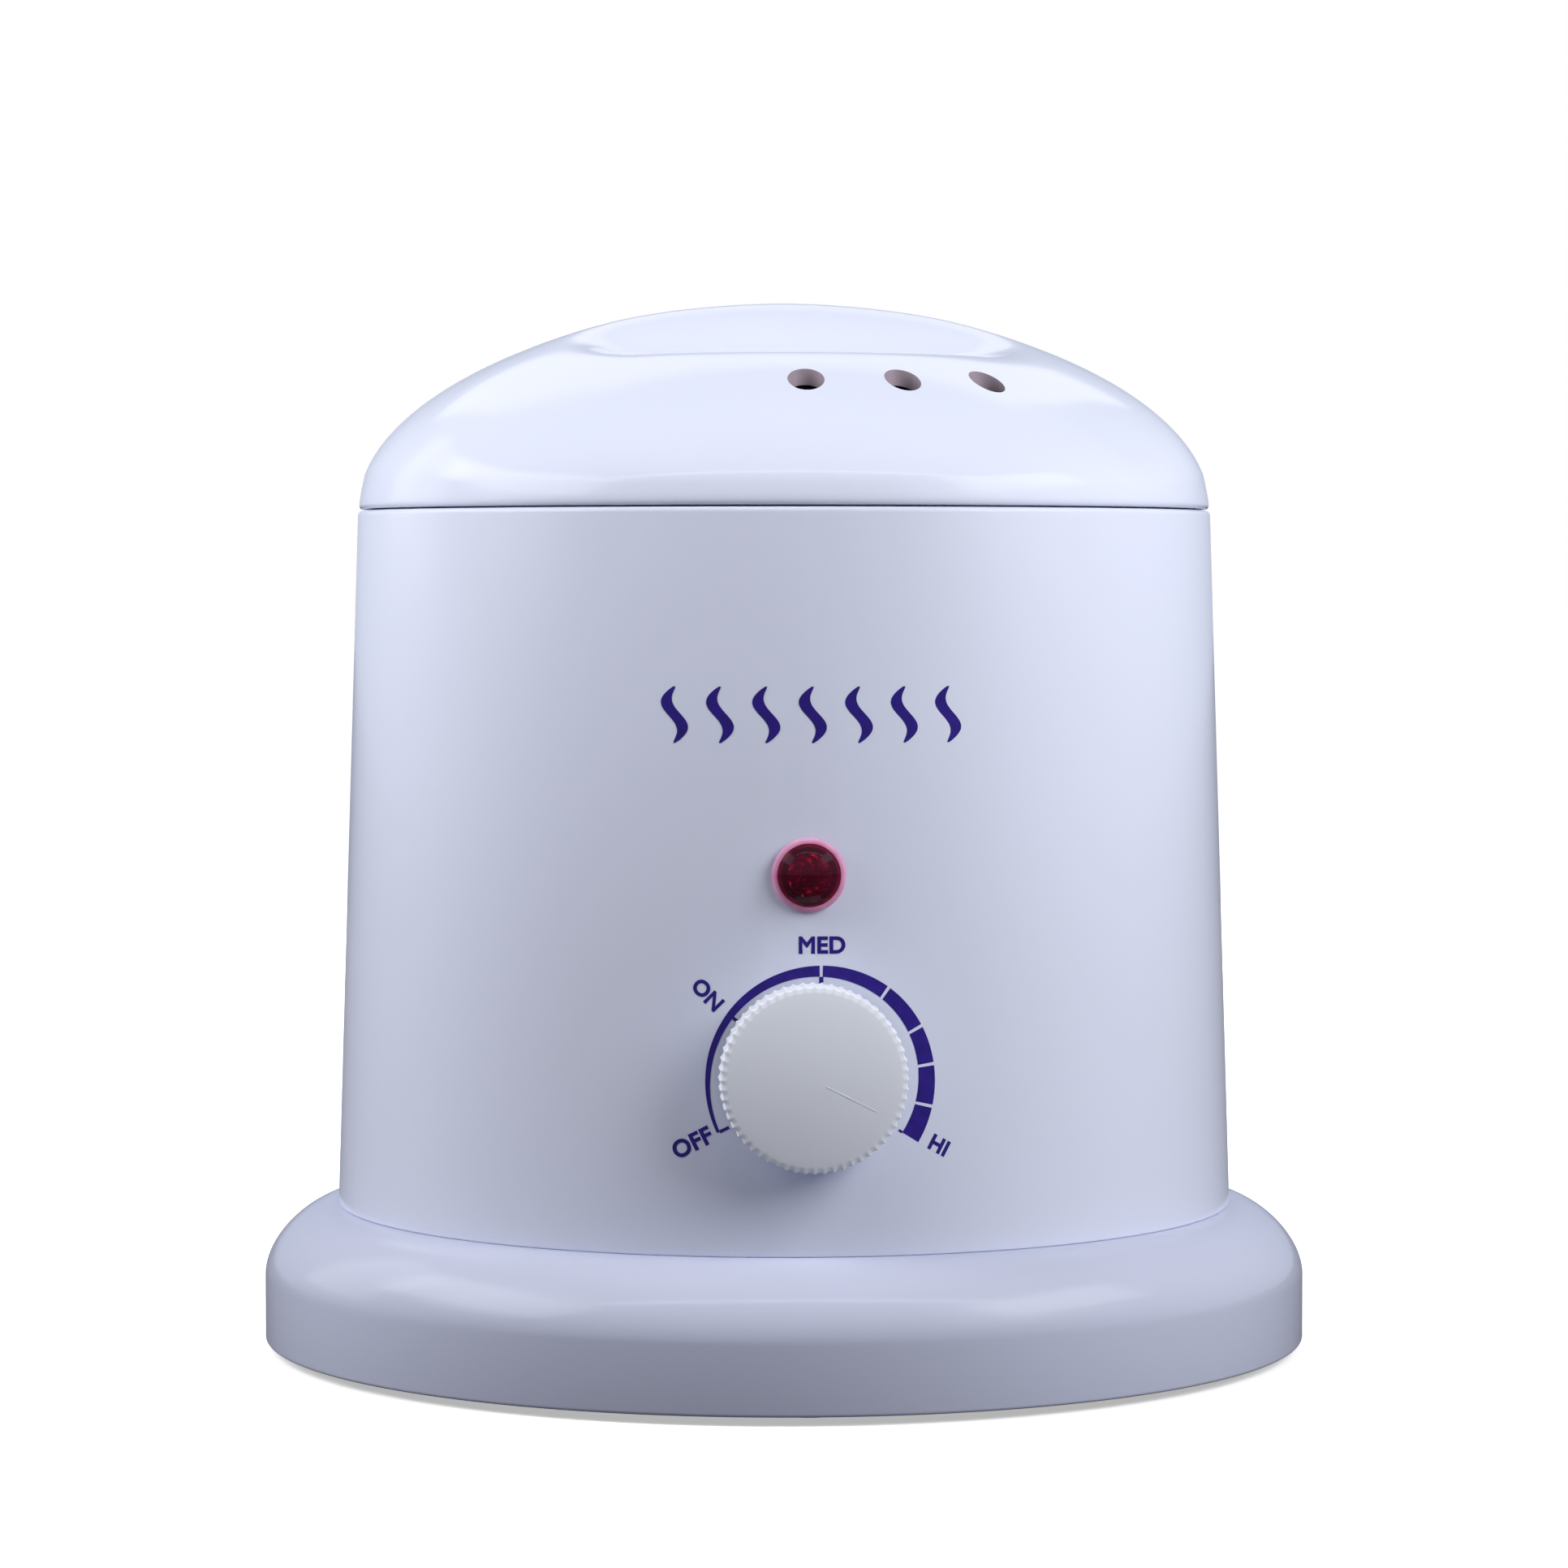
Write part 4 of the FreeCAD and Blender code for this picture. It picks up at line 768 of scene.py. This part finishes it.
def build_knob():
    """Fluted cup: a slightly domed face with a rounded edge, flutes that fade into it, hollow behind."""
    depth = KNOB_HIGH.y - KNOB_LOW.y
    front = -KNOB_LOW.y
    back = front - depth
    inner = KNOB_RADIUS - KNOB_FLUTE - KNOB_WALL
    face = front - KNOB_FACE
    rim = front - KNOB_DOME
    edge = [(KNOB_RADIUS, rim - KNOB_EDGE), (KNOB_RADIUS, rim - 0.05), (KNOB_RADIUS - KNOB_EDGE, rim)]
    profile = [(KNOB_RADIUS, back, 1.0), (KNOB_RADIUS, back + depth * 0.5, 1.0)]
    profile += [(radius, y, 1.0) for radius, y in bezier(edge, 5)]
    profile += [(KNOB_RADIUS - 0.8, knob_face(KNOB_RADIUS - 0.8), 0.55)]
    for radius in (KNOB_RADIUS - 1.3, KNOB_RADIUS - 3.0, 10.0, 7.0, 4.0, 2.0, 0.0):
        profile.append((radius, knob_face(radius), 0.0))
    inside = [(0.0, face), (HUB_RADIUS, face), (inner - 0.8, face), (inner, face - 0.8), (inner, back),
              (KNOB_RADIUS - 1.0, back)]
    samples = 8
    segments = KNOB_TEETH * samples
    points, rings = [], []
    for radius, y, flute in profile[:-1]:
        ring = []
        for step in range(segments):
            share = (step % samples) / samples
            cut = KNOB_FLUTE * 4 * share * (1 - share) * flute
            angle = 2 * math.pi * step / segments
            ring.append(len(points))
            points.append(((radius - cut) * math.cos(angle), (radius - cut) * math.sin(angle), y))
        rings.append(ring)
    rings.append([len(points)])
    points.append((0, 0, profile[-1][1]))
    inner_rings = []
    for radius, y in inside:
        if radius == 0:
            inner_rings.append([len(points)])
            points.append((0, 0, y))
            continue
        ring = []
        for step in range(segments):
            angle = 2 * math.pi * step / segments
            ring.append(len(points))
            points.append((radius * math.cos(angle), radius * math.sin(angle), y))
        inner_rings.append(ring)
    faces = []
    for low, high in list(zip(rings, rings[1:])) + list(zip(inner_rings, inner_rings[1:])):
        faces += bridge(low, high)
    faces += bridge(inner_rings[-1], rings[0])
    piece = make_piece("knob_cap", to_y_axis(points, KNOB_X, KNOB_CENTRE), faces, 50)
    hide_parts("control_knob")
    return finish_piece(piece, "knob", "knob_plastic")


def build_knob_hub():
    """The hub behind the knob's face, which grips the spindle."""
    start = -KNOB_LOW.y - KNOB_FACE + 0.3
    outline = [(HUB_BORE, start), (HUB_RADIUS, start), (HUB_RADIUS, HUB_BACK), (HUB_BORE, HUB_BACK)]
    points, faces = lathe_mesh(rounded(outline, [0, 0, 0.3, 0.3]), 64)
    piece = make_piece("knob_hub", to_y_axis(points, KNOB_X, KNOB_CENTRE), faces)
    return finish_piece(piece, "knob", "knob_plastic")


def build_pointer():
    """Shallow raised line from the middle of the knob towards its rim."""
    spine = [(1.8, 0.10), (2.4, 0.22), (6.0, 0.24), (10.6, 0.18), (11.2, 0.08)]
    points, faces = [], []
    for reach, half in spine:
        surface = knob_face(reach)
        points += [(-half, reach, surface - 0.05), (-half * 0.5, reach, surface + 0.03),
                   (half * 0.5, reach, surface + 0.03), (half, reach, surface - 0.05)]
    for row in range(len(spine) - 1):
        for side in range(4):
            a = row * 4 + side
            b = row * 4 + (side + 1) % 4
            faces.append((a, b, b + 4, a + 4))
    faces += [(0, 1, 2, 3), tuple(range(len(points) - 4, len(points)))]
    turn = Matrix.Rotation(-POINTER_ANGLE, 3, "Z")
    points = [tuple(turn @ Vector(point)) for point in points]
    piece = make_piece("knob_pointer", to_y_axis(points, KNOB_X, KNOB_CENTRE), faces, 60)
    return finish_piece(piece, "knob", "knob_plastic", POINTER_MATERIAL)


# ---------------------------------------------------------------- indicator
def build_lens():
    """Bezel ring, tinted dome, and the faceted diffuser inside it."""
    rim = -LENS_LOW.y - DOME_HEIGHT
    seat = rim - BEZEL_THICK
    stem = STEM_RADIUS
    bezel = [(stem, seat), (LENS_RADIUS, seat), (LENS_RADIUS, seat + 0.55), (LENS_RADIUS - 0.45, rim),
             (DOME_RADIUS - 0.1, rim), (stem, seat + 0.6)]
    points, faces = lathe_mesh(rounded(bezel, [0, 0.15, 0.3, 0.3, 0.2, 0]), 96)
    ring = make_piece("lamp_bezel", to_y_axis(points, 0, LENS_CENTRE), faces, 40)
    finish_piece(ring, "housing", "lens_plastic", FLANGE_MATERIAL)

    ball = (DOME_RADIUS ** 2 + DOME_HEIGHT ** 2) / (2 * DOME_HEIGHT)
    start = math.asin(min(1.0, DOME_RADIUS / ball))
    top = rim + DOME_HEIGHT
    outer, inner = [], []
    for step in range(15):
        angle = start * (1 - step / 14)
        outer.append((ball * math.sin(angle), top - ball + ball * math.cos(angle)))
        hollow = ball - DOME_WALL
        inner.append((hollow * math.sin(angle), top - ball + hollow * math.cos(angle)))
    outer[-1] = (0.0, top)
    inner[-1] = (0.0, top - DOME_WALL)
    stem_back = seat - STEM_LENGTH
    inner = [point for point in inner if point[0] < stem - DOME_WALL]
    outline = list(reversed(inner)) + [(stem - DOME_WALL, stem_back + 0.3), (stem - 0.4, stem_back),
                                       (stem, stem_back + 0.4), (stem, seat + 0.9)] + outer
    points, faces = lathe_mesh(outline, 96, closed=False)
    dome = make_piece("lamp_dome", to_y_axis(points, 0, LENS_CENTRE), faces, 40)
    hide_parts("indicator_lens")
    finish_piece(dome, "housing", "lens_plastic")
    build_facets(stem - 0.9, top - 2.0)


def build_facets(radius, front):
    """Disc of small raised facets that scatters the lamp's light."""
    rings_out, sides = 5, 18
    points = [(0.0, 0.0, front)]
    rings = [[0]]
    for step in range(1, rings_out + 1):
        ring = []
        reach = radius * step / rings_out
        for side in range(sides):
            angle = 2 * math.pi * (side + 0.5 * (step % 2)) / sides
            lift = 0.32 if (side + step) % 2 else -0.12
            ring.append(len(points))
            points.append((reach * math.cos(angle), reach * math.sin(angle), front + lift))
        rings.append(ring)
    back = []
    for side in range(sides):
        angle = 2 * math.pi * side / sides
        back.append(len(points))
        points.append((radius * math.cos(angle), radius * math.sin(angle), front - 0.9))
    rings.append(back)
    rings.append([len(points)])
    points.append((0.0, 0.0, front - 0.9))
    faces = []
    for low, high in zip(rings, rings[1:]):
        for face in bridge(low, high):
            faces += [face] if len(face) == 3 else [(face[0], face[1], face[2]), (face[0], face[2], face[3])]
    piece = make_piece("lamp_facets", to_y_axis(points, 0, LENS_CENTRE), faces, 5)
    return finish_piece(piece, "housing", "lens_plastic", FACET_MATERIAL)


# ---------------------------------------------------------------- printing
def dial_point(radius, degrees):
    angle = math.radians(degrees)
    return (DIAL_SHIFT + radius * math.sin(angle), KNOB_CENTRE + DIAL_DROP + radius * math.cos(angle))


def dial_inner(degrees):
    """The band swells evenly from OFF to HI."""
    share = (degrees - DIAL_OFF) / (DIAL_HIGH - DIAL_OFF)
    return DIAL_RADIUS - DIAL_THIN - (DIAL_THICK - DIAL_THIN) * share


def add_band(points, faces, start, end, inner, outer):
    """Part of a ring between two angles."""
    steps = max(2, round((end - start) / 2.5))
    for step in range(steps + 1):
        angle = start + (end - start) * step / steps
        points.append(dial_point(inner(angle), angle))
        points.append(dial_point(outer(angle), angle))
    first = len(points) - 2 * (steps + 1)
    for step in range(steps):
        a = first + 2 * step
        faces.append((a, a + 1, a + 3, a + 2))


def build_dial():
    points, faces = [], []
    edges = [DIAL_OFF, *DIAL_BREAKS, DIAL_HIGH]
    half = math.degrees(DIAL_BREAK_WIDTH / 2 / DIAL_RADIUS)
    for start, end in zip(edges, edges[1:]):
        low = start if start == DIAL_OFF else start + half
        high = end if end == DIAL_HIGH else end - half
        add_band(points, faces, low, high, dial_inner, lambda angle: DIAL_RADIUS)
    for angle, width, length in ((DIAL_OFF, 0.55, 1.7), (DIAL_ON, 0.6, 1.7), (0.0, 0.8, 1.1),
                                 (DIAL_HIGH, 0.5, 0.7)):
        spread = math.degrees(width / 2 / DIAL_RADIUS)
        top = dial_inner(angle) - 0.02
        add_band(points, faces, angle - spread, angle + spread,
                 lambda a, top=top, length=length: top - length, lambda a, top=top: top)
    piece = printed("dial_scale", points, faces)
    return finish_piece(piece, "housing", "shell_plastic", INK_MATERIAL)


def embolden(flat, grow):
    """Moves the outline of flat letters outwards."""
    pushes = {}
    for face in flat.faces:
        side = 1 if face.normal.z > 0 else -1
        for loop in face.loops:
            if len(loop.edge.link_faces) > 1:
                continue
            run = (loop.link_loop_next.vert.co - loop.vert.co).normalized()
            outward = Vector((run.y, -run.x, 0)) * side
            for vertex in loop.edge.verts:
                pushes.setdefault(vertex, []).append(outward)
    for vertex, outwards in pushes.items():
        total = sum(outwards, Vector((0, 0, 0)))
        if total.length > 0.4:
            vertex.co += total.normalized() * grow * min(1.6, len(outwards) / total.length)


def build_label(word, centre, turn, cap_height):
    """One generic control word, wrapped on the shell."""
    curve = bpy.data.curves.new("label_" + word.lower(), "FONT")
    curve.body = word
    curve.size = cap_height / 0.73
    curve.align_x = "CENTER"
    curve.align_y = "CENTER"
    curve.space_character = 1.05
    curve.resolution_u = 6
    text = bpy.data.objects.new("text", curve)
    bpy.context.scene.collection.objects.link(text)
    graph = bpy.context.evaluated_depsgraph_get()
    mesh = bpy.data.meshes.new_from_object(text.evaluated_get(graph))
    bpy.data.objects.remove(text)
    flat = bmesh.new()
    flat.from_mesh(mesh)
    bmesh.ops.remove_doubles(flat, verts=flat.verts, dist=0.03)
    bmesh.ops.triangulate(flat, faces=flat.faces)
    flat.normal_update()
    embolden(flat, LABEL_BOLD)
    bmesh.ops.recalc_face_normals(flat, faces=flat.faces)
    cos, sin = math.cos(math.radians(turn)), math.sin(math.radians(turn))
    points = []
    for vertex in flat.verts:
        x, y = vertex.co.x, vertex.co.y
        points.append((centre[0] + x * cos + y * sin, centre[1] - x * sin + y * cos))
    faces = [tuple(v.index for v in face.verts) for face in flat.faces]
    flat.free()
    piece = printed("label_" + word.lower(), points, faces)
    return finish_piece(piece, "housing", "shell_plastic", INK_MATERIAL)


def build_labels():
    labels = (("MED", (2.1, KNOB_CENTRE + 21.1), 0, 2.75),
              ("ON", (-16.7, KNOB_CENTRE + 13.0), 46, 2.6),
              ("OFF", (-19.2, KNOB_CENTRE - 11.3), -27, 2.85),
              ("HI", (21.7, KNOB_CENTRE - 12.0), 29, 2.6))
    for word, centre, turn, height in labels:
        build_label(word, centre, turn, height)


def build_heat_mark():
    """A plain row of rising heat strokes, where the front's decoration goes."""
    points, faces = [], []
    rows = 22
    for stroke in range(MARK_STROKES):
        middle = MARK_SHIFT + (stroke - (MARK_STROKES - 1) / 2) * MARK_PITCH
        first = len(points)
        for row in range(rows + 1):
            share = row / rows
            z = SHELL_TOP - MARK_DROP + MARK_HEIGHT * (share - 0.5)
            sway = MARK_SWAY * math.sin(2 * math.pi * share)
            half = 0.18 + 0.95 * math.sin(math.pi * share) ** 0.7
            points += [(middle + sway - half, z), (middle + sway + half, z)]
        for row in range(rows):
            a = first + 2 * row
            faces.append((a, a + 1, a + 3, a + 2))
    piece = printed("heat_mark", points, faces)
    return finish_piece(piece, "housing", "shell_plastic", INK_MATERIAL)


# ---------------------------------------------------------------- pot
def build_pot():
    """Spun pot with a rolled rim."""
    radius = POT_RADIUS
    wall = POT_HIGH.z - COLLAR_HIGH.z
    bore = radius - wall
    low, rim_low, rim_high = POT_LOW.z, COLLAR_HIGH.z, POT_HIGH.z
    outline = [(0.0, low + wall), (0.0, low)]
    outline += bezier([(radius - POT_CORNER, low), (radius, low), (radius, low + POT_CORNER)], 8)
    rim = POT_HIGH.x
    outline += corner((radius, low), (radius, rim_low), (rim, rim_low), 0.5)
    outline += bezier([(rim - 0.6, rim_low), (rim, rim_low), (rim, rim_low + 0.6)], 4)
    outline += bezier([(rim, rim_high - 0.6), (rim, rim_high), (rim - 0.6, rim_high)], 4)
    outline += corner((rim, rim_high), (bore, rim_high), (bore, low), 1.0)
    outline += bezier([(bore, low + POT_CORNER), (bore, low + wall), (bore - 5.8, low + wall)], 8)
    piece = lathe("pot_body", outline + [(0.0, low + wall)], 192, closed=False, sharp=40)
    weld_points(piece)
    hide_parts("wax_pot")
    return finish_piece(piece, "pot", "pot_aluminium")


def weld_points(piece):
    """Merges points that lie on each other."""
    weld = bmesh.new()
    weld.from_mesh(piece.data)
    bmesh.ops.remove_doubles(weld, verts=weld.verts, dist=1e-6)
    weld.to_mesh(piece.data)
    weld.free()


# ---------------------------------------------------------------- stage, lights and camera
CAMERA_AZIMUTH = math.radians(-3.0)
CAMERA_DISTANCE = 883.0
CAMERA_HEIGHT = 138.4
CAMERA_TILT = math.radians(2.52)
CAMERA_LENS = 113.6


def add_camera():
    data = bpy.data.cameras.new("camera")
    data.lens = CAMERA_LENS
    data.sensor_width = 36.0
    data.clip_start = 0.05
    data.clip_end = 60.0
    camera = bpy.data.objects.new("camera", data)
    bpy.context.scene.collection.objects.link(camera)
    camera.location = Vector((CAMERA_DISTANCE * math.sin(CAMERA_AZIMUTH),
                              -CAMERA_DISTANCE * math.cos(CAMERA_AZIMUTH), CAMERA_HEIGHT)) * MM
    camera.rotation_euler = (math.pi / 2 - CAMERA_TILT, 0, CAMERA_AZIMUTH)
    bpy.context.scene.camera = camera


def add_softbox(name, place, target, size, energy, mirrored=True, lighting=True):
    """Rectangular softbox that faces a target; place and target in metres."""
    data = bpy.data.lights.new(name, "AREA")
    data.shape = "RECTANGLE"
    data.size, data.size_y = size
    data.energy = energy
    light = bpy.data.objects.new(name, data)
    light.visible_glossy = mirrored
    light.visible_diffuse = lighting
    bpy.context.scene.collection.objects.link(light)
    light.location = place
    light.rotation_euler = (Vector(target) - Vector(place)).to_track_quat("-Z", "Y").to_euler()


FLOOR_BOUNCE = (0.12, 0.12, 0.14)
ROOM_FILL = 0.005
ROOM_GLOSS = 0.57


def add_floor():
    """Pale floor under the object, wide enough to reach the horizon."""
    reach = 14.0
    points, faces = [(0.0, 0.0, 0.0)], []
    rings = [[0]]
    for radius in (0.2, 0.6, 2.0, 6.0, reach):
        ring = []
        for step in range(96):
            angle = 2 * math.pi * step / 96
            ring.append(len(points))
            points.append((radius * math.cos(angle) / MM, radius * math.sin(angle) / MM, 0.0))
        rings.append(ring)
    for low, high in zip(rings, rings[1:]):
        faces += bridge(low, high)
    floor = make_piece("floor", points, faces)
    nodes = Nodes("pale_floor")
    mottle = nodes.ramp(nodes.noise(3, 3), 0.0, 1.0)
    colour = nodes.blend(mottle, (0.90, 0.90, 0.92), (0.92, 0.92, 0.93))
    path = nodes.tree.nodes.new("ShaderNodeLightPath")
    colour = nodes.blend(path.outputs["Is Camera Ray"], FLOOR_BOUNCE, colour)
    nodes.bumps((nodes.noise(400, 2), 0.02, 0.1))
    distance = nodes.tree.nodes.new("ShaderNodeVectorMath")
    distance.operation = "LENGTH"
    nodes.wire(nodes.place, distance.inputs[0])
    glow = nodes.tree.nodes.new("ShaderNodeMath")
    glow.operation = "MULTIPLY"
    nodes.wire(nodes.ramp(distance.outputs["Value"], 0.45, 1.0, 0.09, 0.30), glow.inputs[0])
    nodes.wire(path.outputs["Is Camera Ray"], glow.inputs[1])
    nodes.set(Base_Color=colour, Roughness=0.7, Emission_Color=(1.0, 1.0, 1.0),
              Emission_Strength=glow.outputs[0])
    floor.data.materials.append(nodes.material)


def add_world():
    """Even pale surround: white to the camera, a pale room in reflections, weak as a light."""
    world = bpy.data.worlds.new("studio")
    world.use_nodes = True
    tree = world.node_tree
    tree.nodes.clear()
    output = tree.nodes.new("ShaderNodeOutputWorld")
    path = tree.nodes.new("ShaderNodeLightPath")
    shader = None
    for colour, strength, ray in (((0.90, 0.93, 1.0), ROOM_FILL, None),
                                  ((0.72, 0.79, 1.0), ROOM_GLOSS, "Is Glossy Ray"),
                                  ((1.0, 1.0, 1.0), 1.0, "Is Camera Ray")):
        light = tree.nodes.new("ShaderNodeBackground")
        light.inputs["Color"].default_value = (*colour, 1.0)
        light.inputs["Strength"].default_value = strength
        if shader is None:
            shader = light.outputs[0]
            continue
        mix = tree.nodes.new("ShaderNodeMixShader")
        tree.links.new(path.outputs[ray], mix.inputs[0])
        tree.links.new(shader, mix.inputs[1])
        tree.links.new(light.outputs[0], mix.inputs[2])
        shader = mix.outputs[0]
    tree.links.new(shader, output.inputs["Surface"])
    bpy.context.scene.world = world


def add_lights():
    """Close softboxes at the sides, larger ones behind, weak ones above, and one long strip."""
    middle = (0, 0, 0.10)
    near = (0.25, 0.35)
    add_softbox("right_softbox", (0.42, -0.22, 0.36), middle, near, 1.37, False)
    add_softbox("right_front_softbox", (0.40, -0.40, 0.40), middle, near, 1.77, False)
    add_softbox("left_softbox", (-0.42, -0.12, 0.36), middle, near, 2.18, False)
    add_softbox("left_back_softbox", (-1.0, 0.55, 0.60), middle, (0.6, 0.8), 1.0)
    add_softbox("back_softbox", (0.0, 0.95, 1.0), middle, (1.2, 0.6), 1.58)
    add_softbox("rear_softbox", (0.0, 1.10, 0.32), middle, (0.9, 0.5), 3.0, False)
    add_softbox("overhead_softbox", (0.0, -0.10, 0.62), middle, (0.5, 0.4), 0.1)
    add_softbox("right_top_softbox", (0.8, -0.35, 1.0), middle, (0.7, 0.7), 0.1)
    add_softbox("strip_light", (0.0, -0.39, 0.88), middle, (1.26, 0.02), 0.5)
    add_softbox("left_panel", (-1.0, -0.10, 0.85), middle, (1.1, 0.5), 2.4, True, False)
    add_softbox("right_panel", (1.0, -0.35, 0.95), middle, (0.9, 0.45), 1.8, True, False)


bpy.context.scene.view_settings.view_transform = "Standard"
add_camera()
add_world()
add_lights()
add_floor()
dress_cad_nodes()
build_base()
build_shell()
build_lid()
build_knob()
build_knob_hub()
build_pointer()
build_lens()
build_dial()
build_labels()
build_heat_mark()
build_pot()
